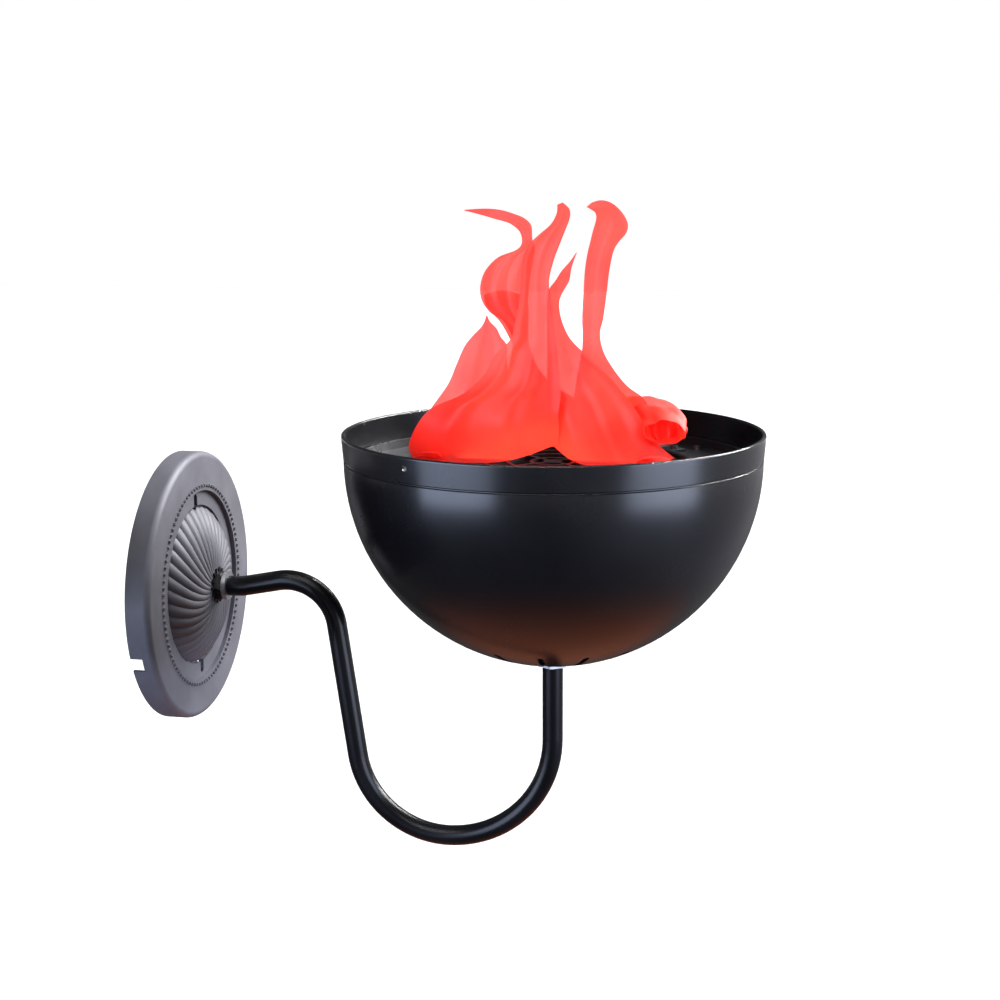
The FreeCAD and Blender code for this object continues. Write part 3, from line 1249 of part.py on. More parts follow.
def check_and_write():
    """Stops on a failed object or a bad shape, and then writes one file per sub-part."""
    doc.recompute()
    for item in doc.Objects:
        if "Invalid" in item.State or "Error" in item.State:
            raise RuntimeError("failed object: " + item.Name)
    os.makedirs("parts", exist_ok=True)
    for item in NODES:
        shape = item.Shape
        if shape.isNull() or not shape.isValid() or not shape.Solids:
            raise RuntimeError("bad shape: " + item.Label)
        shape.exportStep("parts/%s.step" % item.Label)
    print("%d sub-parts" % len(NODES))


wall_canopy()
tooth_lock_washer()
arm_fixings()
threaded_nipples()
arm_tube()
arm_lead()
terminal_block()
bowl()
deck_plate()
deck_fixings()
fan_frame()
fan_rotor()
fan_motor()
finger_guard()
fan_fixings()
hoop_and_clips()
inner_leads(driver(), light_modules())
silk_flame()
check_and_write()
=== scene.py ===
"""Looks of the wall flame lamp: finishes for the metal and moulded pieces, the red silk flame,
a pale studio floor with soft light, and the camera. Metres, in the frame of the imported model."""
import json
import math

import bpy
from mathutils import Matrix, Vector, noise


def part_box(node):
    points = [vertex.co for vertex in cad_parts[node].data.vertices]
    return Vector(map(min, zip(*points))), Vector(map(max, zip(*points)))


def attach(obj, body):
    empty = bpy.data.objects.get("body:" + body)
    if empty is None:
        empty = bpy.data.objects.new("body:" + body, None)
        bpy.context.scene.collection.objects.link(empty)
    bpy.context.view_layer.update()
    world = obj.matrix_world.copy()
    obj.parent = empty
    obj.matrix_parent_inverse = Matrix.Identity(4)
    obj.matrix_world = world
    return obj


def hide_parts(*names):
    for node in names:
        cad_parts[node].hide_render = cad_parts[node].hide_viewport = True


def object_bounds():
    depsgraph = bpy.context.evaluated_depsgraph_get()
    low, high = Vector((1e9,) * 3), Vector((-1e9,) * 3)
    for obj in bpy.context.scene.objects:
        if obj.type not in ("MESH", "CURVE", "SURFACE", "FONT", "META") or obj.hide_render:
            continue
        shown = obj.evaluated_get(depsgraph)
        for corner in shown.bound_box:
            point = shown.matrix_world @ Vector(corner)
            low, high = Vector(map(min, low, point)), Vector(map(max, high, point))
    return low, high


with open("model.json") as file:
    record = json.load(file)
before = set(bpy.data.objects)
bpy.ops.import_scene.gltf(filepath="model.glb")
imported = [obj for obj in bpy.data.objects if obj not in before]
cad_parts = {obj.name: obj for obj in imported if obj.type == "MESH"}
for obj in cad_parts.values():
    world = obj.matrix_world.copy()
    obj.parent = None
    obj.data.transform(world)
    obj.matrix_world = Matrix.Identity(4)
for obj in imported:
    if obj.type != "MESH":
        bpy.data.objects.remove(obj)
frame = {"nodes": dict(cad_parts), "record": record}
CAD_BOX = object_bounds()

MM = 0.001

# Places read from the frame
BOWL_LOW, BOWL_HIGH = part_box("bowl")
BOWL_AXIS_Y = (BOWL_LOW.y + BOWL_HIGH.y) / 2
HOOP_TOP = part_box("silk_hoop")[1].z
CANOPY_LOW, CANOPY_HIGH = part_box("wall_canopy")
CANOPY_MIDDLE = (CANOPY_LOW.z + CANOPY_HIGH.z) / 2
LAMP_MIDDLE = (CAD_BOX[0] + CAD_BOX[1]) / 2
LAMP_FOOT = CAD_BOX[0].z

# Camera: the point on the bowl's axis that it circles, where it stands, and where it looks
AIM_DROP = 12.8 * MM
AIM = Vector((0, BOWL_AXIS_Y, BOWL_HIGH.z - AIM_DROP))
CAMERA_BEARING = -80.0
CAMERA_HEIGHT = 9.48
CAMERA_DISTANCE = 0.8
LOOK_BEARING = -78.17
LOOK_HEIGHT = 10.93
CAMERA_ROLL = -0.3
CAMERA_LENS = 60.65

# Canopy primer and painted shade: the screw slots' width, how far they reach from the middle, and where the
# front of the flat round them lies; that strip is painted dark as the shade in and round the slots. A face
# shows dark primer, which is also painted shade for the hollow behind the slots, if it turns to the wall or
# the middle past a limit
SLOT_WIDTH = 4.4 * MM
SLOT_REACH = 50 * MM
PLATE_FRONT = -9.7 * MM
WALL_TURN = 0.1
MIDDLE_TURN = -55 * MM

# Silk: how much of the light the threads catch, and how much of that passes through them
SILK_COVER = 0.94
SILK_GLOW = 0.42

# Waves: how far apart the silk's threads and the coil's turns are drawn, in mm, and how soon a Wave
# texture repeats at scale 1
THREADS_APART = 3.77
TURNS_APART = 2.827
WAVE_REPEAT = 2 * math.pi / 20


def linear(colour):
    """An sRGB hex colour as linear red, green, blue and alpha."""
    parts = [int(colour[k:k + 2], 16) / 255 for k in (1, 3, 5)]
    return [c / 12.92 if c < 0.04045 else ((c + 0.055) / 1.055) ** 2.4 for c in parts] + [1.0]


def per(size_mm):
    """How often a feature of this size repeats in a metre."""
    return 1 / (size_mm * MM)


def wave_scale(apart_mm):
    """The scale at which the waves of a Wave texture lie this far apart."""
    return per(apart_mm) * WAVE_REPEAT


def add(tree, kind, settings, links=None):
    """Adds a node with its settings, and links its inputs."""
    node = tree.nodes.new(kind)
    for key, value in settings.items():
        if isinstance(key, int) or key in node.inputs:
            node.inputs[key].default_value = value
        else:
            setattr(node, key, value)
    for key, source in (links or {}).items():
        tree.links.new(source, node.inputs[key])
    return node


def surface(name, colour, roughness, **settings):
    """A new material with one Principled shader; returns it with its tree, shader and place."""
    material = bpy.data.materials.new(name)
    material.use_nodes = True
    tree = material.node_tree
    tree.nodes.clear()
    shader = add(tree, "ShaderNodeBsdfPrincipled", {"Base Color": linear(colour), "Roughness": roughness})
    for key, value in settings.items():
        shader.inputs[key.replace("_", " ")].default_value = value
    add(tree, "ShaderNodeOutputMaterial", {}, {"Surface": shader.outputs[0]})
    place = add(tree, "ShaderNodeTexCoord", {}).outputs["Object"]
    return material, tree, shader, place


def blotch(tree, shader, place, dark, light, size_mm, detail=3.0):
    """Slow colour variation between two hex colours."""
    cloud = add(tree, "ShaderNodeTexNoise", {"Scale": per(size_mm), "Detail": detail}, {"Vector": place})
    ramp = add(tree, "ShaderNodeValToRGB", {}, {"Fac": cloud.outputs["Fac"]})
    ramp.color_ramp.elements[0].position = 0.35
    ramp.color_ramp.elements[0].color = linear(dark)
    ramp.color_ramp.elements[1].position = 0.68
    ramp.color_ramp.elements[1].color = linear(light)
    tree.links.new(ramp.outputs["Color"], shader.inputs["Base Color"])
    return ramp


def sheen_patches(tree, shader, place, low, high, size_mm):
    """Roughness that wanders between two values, as handling and moulding leave it."""
    cloud = add(tree, "ShaderNodeTexNoise", {"Scale": per(size_mm), "Detail": 4.0}, {"Vector": place})
    span = add(tree, "ShaderNodeMapRange", {"From Min": 0.3, "From Max": 0.7, "To Min": low, "To Max": high},
               {"Value": cloud.outputs["Fac"]})
    tree.links.new(span.outputs["Result"], shader.inputs["Roughness"])


def grain(tree, shader, place, size_mm, height_mm, stretch=(1, 1, 1)):
    """A fine surface relief, stretched along an axis for a brushed or drawn finish."""
    scaled = add(tree, "ShaderNodeMapping", {"Scale": stretch}, {"Vector": place})
    relief = add(tree, "ShaderNodeTexNoise", {"Scale": per(size_mm), "Detail": 2.0},
                 {"Vector": scaled.outputs["Vector"]})
    bump = add(tree, "ShaderNodeBump", {"Distance": height_mm * MM, "Strength": 1.0},
               {"Height": relief.outputs["Fac"]})
    tree.links.new(bump.outputs["Normal"], shader.inputs["Normal"])


def passes(tree, operation, source, limit, width=0):
    """1 where a value passes a comparison with a limit, and 0 elsewhere."""
    return add(tree, "ShaderNodeMath", {"operation": operation, 1: limit, 2: width}, {0: source}).outputs[0]


def join(tree, operation, first, second):
    """Two fields as one. For masks, MAXIMUM is either and MULTIPLY is both."""
    return add(tree, "ShaderNodeMath", {"operation": operation}, {0: first, 1: second}).outputs[0]


# Finishes
def moulded_abs():
    """Black ABS from a polished mould: satin, with a faint orange peel and slow patches of sheen."""
    material, tree, shader, place = surface("moulded_abs", "#08080B", roughness=0.25, IOR=1.53,
                                            Specular_IOR_Level=0.42)
    blotch(tree, shader, place, "#060608", "#0B0B0E", size_mm=40)
    sheen_patches(tree, shader, place, low=0.23, high=0.28, size_mm=25)
    grain(tree, shader, place, size_mm=1.6, height_mm=0.008)
    return material


def powder_coated_steel():
    """Black powder coat baked on a steel tube: glossy, with the fine orange peel of powder."""
    material, tree, shader, place = surface("powder_coated_steel", "#09090B", roughness=0.27, IOR=1.5,
                                            Specular_IOR_Level=0.2)
    blotch(tree, shader, place, "#08080A", "#0F0F12", size_mm=30)
    grain(tree, shader, place, size_mm=1.2, height_mm=0.016)
    return material


def primer_and_hollow_shade(tree, place):
    """A mask of the canopy's faces that look at the wall or, on the rim, at the canopy's middle. They take
    dark primer, which is also painted shade for the hollow that shows through the screw slots.
    """
    normal = add(tree, "ShaderNodeNewGeometry", {}).outputs["Normal"]
    facing = add(tree, "ShaderNodeSeparateXYZ", {}, {0: normal}).outputs["Y"]
    inward = add(tree, "ShaderNodeVectorMath", {"operation": "DOT_PRODUCT"}, {0: normal, 1: place})
    in_rim = passes(tree, "LESS_THAN", inward.outputs["Value"], MIDDLE_TURN)
    to_wall = passes(tree, "GREATER_THAN", facing, WALL_TURN)
    return join(tree, "MAXIMUM", in_rim, to_wall)


def painted_slot_shade(tree, place):
    """A mask of the upright strip, sunk behind the flat's front, in which the screw slots are cut. It is
    painted dark as the shade in and round the slots.
    """
    at = add(tree, "ShaderNodeSeparateXYZ", {}, {0: place}).outputs
    sunk = passes(tree, "GREATER_THAN", at["Y"], PLATE_FRONT)
    across = passes(tree, "COMPARE", at["X"], 0, SLOT_WIDTH / 2)
    central = passes(tree, "COMPARE", at["Z"], 0, SLOT_REACH)
    return join(tree, "MULTIPLY", join(tree, "MULTIPLY", sunk, across), central)


def sprayed_canopy():
    """Sprayed graphite paint on pressed steel: matt, with fine grit and a little flake. The side that faces
    the wall and the rim's inside are dark primer, which is also painted shade for the hollow seen through
    the screw slots; the strip in which the slots are cut is painted dark as the shade in and round them."""
    material, tree, shader, place = surface("sprayed_graphite_paint", "#5A5A61", roughness=0.5, IOR=1.5,
                                            Metallic=0.1, Specular_IOR_Level=0.25)
    paint = blotch(tree, shader, place, "#54545B", "#606067", size_mm=22, detail=5.0)
    sheen_patches(tree, shader, place, low=0.46, high=0.56, size_mm=12)
    grain(tree, shader, place, size_mm=0.6, height_mm=0.03)
    # Masked faces turn dark: primer on the back that doubles as painted shade in the hollow, and painted
    # shade in and round the slots
    primer_and_shade = join(tree, "MAXIMUM", primer_and_hollow_shade(tree, place), painted_slot_shade(tree, place))
    paint_or_shade = add(tree, "ShaderNodeMix", {"data_type": "RGBA", 7: linear("#26262A")},
                {0: primer_and_shade, 6: paint.outputs["Color"]})
    tree.links.new(paint_or_shade.outputs[2], shader.inputs["Base Color"])
    return material


def lacquered_deck():
    """Black lacquer on sheet steel: satin, with a few wiping marks."""
    material, tree, shader, place = surface("lacquered_sheet_steel", "#111216", roughness=0.3, IOR=1.5)
    blotch(tree, shader, place, "#0E0F13", "#17181D", size_mm=35)
    sheen_patches(tree, shader, place, low=0.24, high=0.4, size_mm=18)
    return material


def zinc_plate():
    """Zinc-plated turned steel: bright grey with fine turning marks."""
    material, tree, shader, place = surface("zinc_plated_steel", "#B9BABD", roughness=0.32, Metallic=1.0)
    blotch(tree, shader, place, "#A9AAAE", "#C7C7C8", size_mm=3)
    grain(tree, shader, place, size_mm=0.5, height_mm=0.02, stretch=(1, 1, 6))
    return material


def blackened_steel():
    """Black-oxide steel: dark, oily satin, with brighter patches where the oxide is thin."""
    material, tree, shader, place = surface("black_oxide_steel", "#2A2A2C", roughness=0.38, Metallic=0.7)
    blotch(tree, shader, place, "#1D1D1F", "#3A3A3C", size_mm=2.5, detail=5.0)
    grain(tree, shader, place, size_mm=0.5, height_mm=0.02)
    return material


def natural_nylon():
    """Moulded nylon: milky white and slightly waxy."""
    material, tree, shader, place = surface("moulded_nylon", "#D9D7CF", roughness=0.42, IOR=1.53,
                                            Subsurface_Weight=0.15, Subsurface_Scale=0.002)
    blotch(tree, shader, place, "#D2D0C7", "#E0DED6", size_mm=9)
    grain(tree, shader, place, size_mm=1.0, height_mm=0.01)
    return material


def moulded_pbt():
    """Glass-filled PBT as fans are moulded from: black, dry and slightly grainy."""
    material, tree, shader, place = surface("moulded_glass_filled_pbt", "#17171A", roughness=0.48,
                                            IOR=1.57)
    blotch(tree, shader, place, "#131316", "#1D1D20", size_mm=12)
    grain(tree, shader, place, size_mm=0.7, height_mm=0.02)
    return material


def ground_steel():
    """Ground steel for shafts, bearings and laminations: bright with fine rings."""
    material, tree, shader, place = surface("ground_steel", "#A5A6A8", roughness=0.25, Metallic=1.0)
    blotch(tree, shader, place, "#97989A", "#B2B3B5", size_mm=4)
    grain(tree, shader, place, size_mm=0.4, height_mm=0.008, stretch=(1, 1, 8))
    return material


def sintered_ferrite():
    """Sintered ferrite: near black and chalky."""
    material, tree, shader, place = surface("sintered_ferrite", "#2B2826", roughness=0.66, IOR=2.0)
    blotch(tree, shader, place, "#242220", "#34302D", size_mm=3)
    grain(tree, shader, place, size_mm=0.5, height_mm=0.03)
    return material


def enamelled_copper():
    """Enamelled copper winding: warm and shiny, with the turns of the wire as ridges."""
    material, tree, shader, place = surface("enamelled_copper", "#B4622F", roughness=0.28, Metallic=1.0)
    ridges = {"Scale": wave_scale(TURNS_APART), "Distortion": 0.4}
    turns = add(tree, "ShaderNodeTexWave", {"bands_direction": "Z", **ridges}, {"Vector": place})
    bump = add(tree, "ShaderNodeBump", {"Distance": 0.12 * MM}, {"Height": turns.outputs["Fac"]})
    tree.links.new(bump.outputs["Normal"], shader.inputs["Normal"])
    blotch(tree, shader, place, "#A05324", "#C67338", size_mm=4)
    return material


def solder_mask():
    """Green solder mask on glass-epoxy board: glossy over faint tracks."""
    material, tree, shader, place = surface("solder_mask_green", "#14532F", roughness=0.22, IOR=1.5)
    colours = {"Color1": linear("#124B2B"), "Color2": linear("#175A34"), "Mortar": linear("#2A7A4B")}
    tracks = add(tree, "ShaderNodeTexBrick", {"Scale": per(3.0), "Mortar Size": 0.04, **colours},
                 {"Vector": place})
    tree.links.new(tracks.outputs["Color"], shader.inputs["Base Color"])
    return material


def white_lamp_board():
    """White solder mask on an aluminium lamp board."""
    material, tree, shader, place = surface("white_lamp_board", "#E6E5DF", roughness=0.3, IOR=1.5)
    blotch(tree, shader, place, "#DEDCD5", "#EEEDE8", size_mm=4)
    return material


def cast_acrylic():
    """Clear moulded acrylic of the lenses."""
    material, tree, shader, place = surface("moulded_acrylic", "#8E959B", roughness=0.3, IOR=1.49,
                                            Transmission_Weight=0.85)
    grain(tree, shader, place, size_mm=3.0, height_mm=0.01)
    return material


def extruded_aluminium():
    """Extruded aluminium: grey, with die lines along the fins."""
    material, tree, shader, place = surface("extruded_aluminium", "#B6B8BB", roughness=0.36,
                                            Metallic=1.0)
    blotch(tree, shader, place, "#A8AAAD", "#C2C4C7", size_mm=6)
    grain(tree, shader, place, size_mm=0.5, height_mm=0.02, stretch=(0.1, 1, 1))
    return material


def pvc_jacket():
    """Black PVC wire jacket: soft satin with a slight ripple from the extruder."""
    material, tree, shader, place = surface("extruded_pvc", "#141415", roughness=0.42, IOR=1.53)
    blotch(tree, shader, place, "#111112", "#1B1B1C", size_mm=10)
    grain(tree, shader, place, size_mm=2.0, height_mm=0.02)
    return material


def turned_brass():
    """Turned brass: yellow, lightly tarnished."""
    material, tree, shader, place = surface("turned_brass", "#B8924A", roughness=0.3, Metallic=1.0)
    blotch(tree, shader, place, "#A37F3C", "#C8A45C", size_mm=3)
    grain(tree, shader, place, size_mm=0.4, height_mm=0.015, stretch=(1, 1, 6))
    return material


def woven_silk():
    """Plain-woven red silk: a soft sheen, light glows through one layer and darkens through two.

    The real threads are 0.1 mm apart; the weave is drawn far coarser, as a faint relief."""
    material, tree, shader, place = surface("woven_silk", "#FF2A1C", roughness=0.5, IOR=1.54,
                                            Sheen_Weight=0.3, Sheen_Roughness=0.4, Alpha=SILK_COVER)
    shader.inputs["Sheen Tint"].default_value = linear("#FF8A80")
    threads = {"Scale": wave_scale(THREADS_APART), "Distortion": 1.2, "Detail": 1.0}
    warp = add(tree, "ShaderNodeTexWave", {"bands_direction": "Y", **threads}, {"Vector": place})
    weft = add(tree, "ShaderNodeTexWave", {"bands_direction": "Z", **threads}, {"Vector": place})
    cloth = join(tree, "ADD", warp.outputs["Fac"], weft.outputs["Fac"])
    crease = add(tree, "ShaderNodeTexNoise", {"Scale": per(14), "Detail": 4.0}, {"Vector": place})
    weave = add(tree, "ShaderNodeBump", {"Distance": 0.02 * MM, "Strength": 0.4}, {"Height": cloth})
    bump = add(tree, "ShaderNodeBump", {"Distance": 0.5 * MM, "Strength": 0.4},
               {"Height": crease.outputs["Fac"], "Normal": weave.outputs["Normal"]})
    tree.links.new(bump.outputs["Normal"], shader.inputs["Normal"])
    ramp = blotch(tree, shader, place, "#FF2C1A", "#FF3C2A", size_mm=26)
    through = add(tree, "ShaderNodeBsdfTranslucent", {}, {"Color": ramp.outputs["Color"],
                                                          "Normal": bump.outputs["Normal"]})
    clear = add(tree, "ShaderNodeBsdfTransparent", {})
    glow = add(tree, "ShaderNodeMixShader", {0: 1 - SILK_COVER},
               {1: through.outputs[0], 2: clear.outputs[0]})
    both = add(tree, "ShaderNodeMixShader", {0: SILK_GLOW}, {1: shader.outputs[0], 2: glow.outputs[0]})
    output = [node for node in tree.nodes if node.type == "OUTPUT_MATERIAL"][0]
    tree.links.new(both.outputs[0], output.inputs["Surface"])
    return material


FINISHES = {
    "bowl_plastic": moulded_abs(), "powder_black": powder_coated_steel(), "canopy_grey": sprayed_canopy(),
    "deck_black": lacquered_deck(), "zinc_steel": zinc_plate(), "black_steel": blackened_steel(),
    "nylon_white": natural_nylon(), "fan_plastic": moulded_pbt(), "motor_steel": ground_steel(),
    "ferrite": sintered_ferrite(), "copper_wire": enamelled_copper(), "circuit_green": solder_mask(),
    "board_white": white_lamp_board(), "clear_acrylic": cast_acrylic(),
    "sink_aluminium": extruded_aluminium(), "lead_jacket": pvc_jacket(), "brass_screw": turned_brass(),
    "red_silk": woven_silk(),
}


# The collar is a bright plated ring, whatever the slot of its node says
NODE_SLOTS = {"arm_collar": "zinc_steel"}


def dress_frame():
    """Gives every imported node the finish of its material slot, or the one that NODE_SLOTS names."""
    for part in frame["record"]["subparts"]:
        mesh = frame["nodes"][part["node"]].data
        mesh.materials.clear()
        mesh.materials.append(FINISHES[NODE_SLOTS.get(part["node"], part["material_slot"])])


# Silk: each sheet is a stack of rows from hem to tip. A row is left out, left height, right out,
# right height and depth in mm: out runs away from the wall, height starts at the hoop's top and
# depth runs away from the side that shows
FRONT_ROWS = [
    (-68, 0, 3, 8, -4), (-69.5, 6, 4, 15, -6), (-65, 16, 4, 23, -8), (-57, 25, 5, 31, -8),
    (-42, 32, 5, 37, -8), (-32, 41, 4, 44, -7), (-26, 51, 3, 53, -6), (-19, 58, 2, 60, -6),
    (-17, 65, 1, 67, -6), (-15, 76, 0, 76, -6), (-14, 86, -1, 85, -5), (-13.5, 94, 1, 94, -5),
    (-11, 101, 4, 102, -5), (-6, 106, 7, 109, -6), (0, 111, 9, 114, -7), (3, 116, 9, 118, -8),
    (3.5, 120, 6, 121, -9),
]
LEFT_ROWS = [
    (-69, 0, -26, 0, 4), (-69.5, 10, -24, 12, 5), (-61, 23, -22, 27, 5), (-52, 35, -22, 38, 5),
    (-48, 44, -23, 47, 5), (-44, 53, -23, 54, 5), (-40, 58, -26, 58, 5), (-36, 62, -28, 62, 5),
    (-34, 65, -31, 65, 5), (-33, 68, -32.5, 68, 5),
]
BACK_ROWS = [
    (-46, 0, 44, 0, 16), (-42, 11, 38, 12, 16), (-37, 19, 31, 20, 15), (-33, 25, 19, 25.5, 15),
    (-29, 28, 7, 29, 14), (-26, 34, -3, 35, 14), (-24, 43, -10, 43, 14), (-22, 54, -14, 54, 14),
    (-23.5, 60, -15, 60, 14), (-27, 65, -15, 66, 14), (-33, 69, -15, 71, 14),
    (-37, 75, -14.5, 77, 14), (-37.5, 82, -14, 83, 14), (-35, 89, -12.5, 90, 14),
    (-29, 95, -11.5, 95.5, 14), (-20, 98.5, -11, 100, 13), (-17, 102, -12, 104, 12),
    (-18, 107, -12.5, 110, 12), (-22, 110.5, -16, 113.5, 12), (-26, 112, -21, 115.5, 12),
    (-30, 113, -26, 117, 12), (-34, 114.2, -32, 117.8, 12), (-39, 115.6, -38, 117.8, 11),
    (-44.5, 117, -44, 117.4, 10),
]
MIDDLE_ROWS = [
    (-2, 8, 58, 1, -2), (-2.5, 14, 51, 8, -3), (-3, 21, 45, 16, -3), (-3, 28, 39, 26, -2),
    (-3, 35, 31, 36, -1), (-3, 42, 22, 45, 1), (-3, 51, 14.5, 51.5, 1), (-3, 58, 8, 58, 1),
    (-3, 64, 4.5, 65, 1), (-3, 70, 3, 71, 1), (-3, 76, 3, 76, 1), (-2, 81, 5, 80.5, 1),
    (1, 85, 7.5, 85, 1), (4, 89.5, 8.5, 90, 0), (8, 94, 9.5, 93.5, 0), (10.8, 98, 11.2, 98, 0),
]
RIGHT_ROWS = [
    (5, 0, 43, 0, 9), (6, 13, 44, 13, 9), (7, 21, 45, 22, 9), (8, 28, 42, 29.5, 9),
    (9.5, 35, 34, 35.5, 8), (11, 44, 27, 44, 8), (12.5, 52, 22.5, 52, 8), (12.8, 60, 21, 60, 8),
    (12.5, 67, 22.5, 67, 8), (13, 78, 24, 78, 8), (13.6, 89, 25.2, 89, 8), (14.8, 97, 27, 98, 8),
    (16, 102, 29.5, 102.5, 8), (17.5, 107.5, 33, 106.5, 7), (19.2, 113, 34, 111, 6),
    (19, 116, 31.5, 116, 5), (17, 117.6, 27, 120.3, 4), (15.6, 118.4, 22, 121.8, 4),
    (14.8, 118.6, 17.5, 120.8, 4),
]
BULGE_ROWS = [
    (-22, 52, -15, 50, 17), (-28, 63, -15, 60, 17.5), (-35.5, 71, -15, 70, 17.5), (-36.5, 77, -16, 76, 16.5),
]

# Folds that run up a sheet: how many lie across it, their depth in mm, phase, and drift up the sheet
FRONT_FOLDS = [(2.5, 1.1, 0.1, 0.4), (5, 0.25, 0.3, 0.9)]
LEFT_FOLDS = [(1.5, 1.4, 0.2, 0.3), (4, 0.25, 0.0, 0.6)]
BACK_FOLDS = [(3, 1.3, 0.4, 0.5), (7, 0.2, 0.1, 0.8)]
BULGE_FOLDS = [(1, 0.8, 0.0, 0.2)]
RIGHT_FOLDS = [(1.5, 1.5, 0.3, 0.7), (4, 0.25, 0.2, 0.5)]
MIDDLE_FOLDS = [(2, 1.0, 0.2, 0.4), (5, 0.2, 0.5, 0.6)]
LINING_FOLDS = [(2.5, 9, 0.2, 0.3)]

# Heights of the lower edges from left to right, in mm
FRONT_HEM = (0, -0.3, -0.2, 0.6, 3.4, 8.3)
MIDDLE_HEM = (8.5, 2.6, 0, -0.3, 0, 0.6, 3)
BACK_HEM = (0, 0.5, 6, 11, 13, 9, 2, 0)

# The rolled right corner and the small tucks at the feet, as rings of depth, out, height, half width,
# half height, and the angles where the cloth starts and ends, in mm and degrees
FOLD_RINGS = [
    (-6, 54.2, 15.8, 9.4, 5.4, 235, -150), (-1, 52.8, 17.4, 10.4, 5.8, 230, -140),
    (4, 50, 19.2, 12, 6.2, 220, -120), (10, 46.2, 21.6, 13.5, 6.4, 205, -90),
    (16, 42, 24.4, 13.5, 5.4, 190, -60),
]
FOLD_LINING = [
    (46, 11.5, 60, 11, 2), (44.6, 14, 62.5, 13.6, 3), (44.6, 17, 63.4, 16.8, 4), (47, 20.8, 60.5, 20.2, 5),
]
LEFT_TUCK = [
    (-15, -58.5, 2.6, 8, 2.2, 160, -160), (-11, -58, 2.8, 7, 2, 150, -150), (-8, -57, 3, 5, 1.4, 140, -140),
]
RIGHT_TUCK = [
    (-15, 50.5, 3, 9, 2.4, 20, 340), (-11, 50, 3.2, 8, 2.1, 30, 330), (-7, 49, 3.4, 6, 1.6, 40, 320),
]

# Hang of the cloth: how far the foot bellies out and the bulge arches, the narrowest width and the
# one from which folds are full, in mm, and how fast the hem's shape and the belly fade upwards
FOOT_SWELL = 9
BULGE_CROWN = 2.6
NARROW_CLOTH = 0.1
BROAD_CLOTH = 45
HEM_FADE = 6
BELLY_FADE = 2.5
FADE_CURVE = 1.5

# Stir, the small unevenness of the cloth: its size along out, height and depth, where its pattern
# starts, its most and its share of the width, all in mm. For rolls, how often it repeats round them
# and its share of their radius
STIR_SIZE = (17, 23, 9)
STIR_START = 3.1
STIR_MOST = 2.2
STIR_WIDTH_SHARE = 0.08
ROLL_STIR = 1.9
ROLL_STIR_SHARE = 0.2


def smooth_at(values, place):
    """A value between the stops of a list, on a smooth curve through them."""
    last = len(values) - 1
    k = min(int(place), last - 1)
    t = place - k
    before, low, high, after = (values[min(max(k + n, 0), last)] for n in (-1, 0, 1, 2))
    return 0.5 * (2 * low + (high - before) * t + (2 * before - 5 * low + 4 * high - after) * t ** 2
                  + (3 * low - before - 3 * high + after) * t ** 3)


def fade(rise, rate):
    """1 at the foot of a sheet, falling to 0 at 1 / rate of its height."""
    return max(0, 1 - rise * rate) ** FADE_CURVE


def fold_depth(folds, t, rise, width):
    """How far the folds move the cloth in depth, in mm. Narrow cloth has shallower folds."""
    calm = min(1, width / BROAD_CLOTH) ** 2
    return sum(size * calm * math.sin(2 * math.pi * (count * t + phase + drift * rise))
               for count, size, phase, drift in folds)


def stir_depth(out, height, depth, width):
    """How far the stir moves the cloth in depth, in mm."""
    along, up, back = STIR_SIZE
    wander = noise.noise(Vector((out / along, height / up, depth / back + STIR_START)))
    return wander * min(STIR_MOST, width * STIR_WIDTH_SHARE)


def hang_silk(rows, folds, hem=None, swell=0, crown=0, across=60, steps=5):
    """The points and faces of one sheet. hem gives the lower edge's heights from left to right,
    swell how far the foot bellies out towards the camera, and crown how far the upper edge arches."""
    points = []
    total = (len(rows) - 1) * steps
    for i in range(total + 1):
        place = i / steps
        left, low, right, high, depth = (smooth_at([row[k] for row in rows], place) for k in range(5))
        width = max(right - left, NARROW_CLOTH)
        rise = place / (len(rows) - 1)
        for j in range(across + 1):
            t = j / across
            out = left + (right - left) * t
            height = low + (high - low) * t + crown * math.sin(math.pi * t) * rise ** 3
            if hem:
                straight = rows[0][1] + (rows[0][3] - rows[0][1]) * t
                height += (smooth_at(hem, t * (len(hem) - 1)) - straight) * fade(rise, HEM_FADE)
            belly = swell * math.sin(math.pi * t) * fade(rise, BELLY_FADE)
            fold = fold_depth(folds, t, rise, width)
            stir = stir_depth(out, height, depth, width)
            points.append(Vector(((depth + fold + stir - belly) * MM,
                                  BOWL_AXIS_Y - out * MM,
                                  HOOP_TOP + height * MM)))
    return points, strips(total, across)


def strips(rows, across):
    """Faces of a grid of points."""
    wide = across + 1
    return [(i * wide + j, i * wide + j + 1, (i + 1) * wide + j + 1, (i + 1) * wide + j)
            for i in range(rows) for j in range(across)]


def rolled_silk(rings, around=60, steps=6):
    """The points and faces of a roll of cloth through its rings."""
    points = []
    total = (len(rings) - 1) * steps
    for i in range(total + 1):
        depth, out, height, wide, tall, start, end = (smooth_at([ring[k] for ring in rings], i / steps)
                                                      for k in range(7))
        for j in range(around + 1):
            angle = math.radians(start + (end - start) * j / around)
            side, up = math.cos(angle), math.sin(angle)
            wander = noise.noise(Vector((side * ROLL_STIR, up * ROLL_STIR, depth / STIR_SIZE[2])))
            stir = 1 + ROLL_STIR_SHARE * wander
            points.append(Vector((depth * MM,
                                  BOWL_AXIS_Y - (out + wide * stir * side) * MM,
                                  HOOP_TOP + (height + tall * stir * up) * MM)))
    return points, strips(total, around)


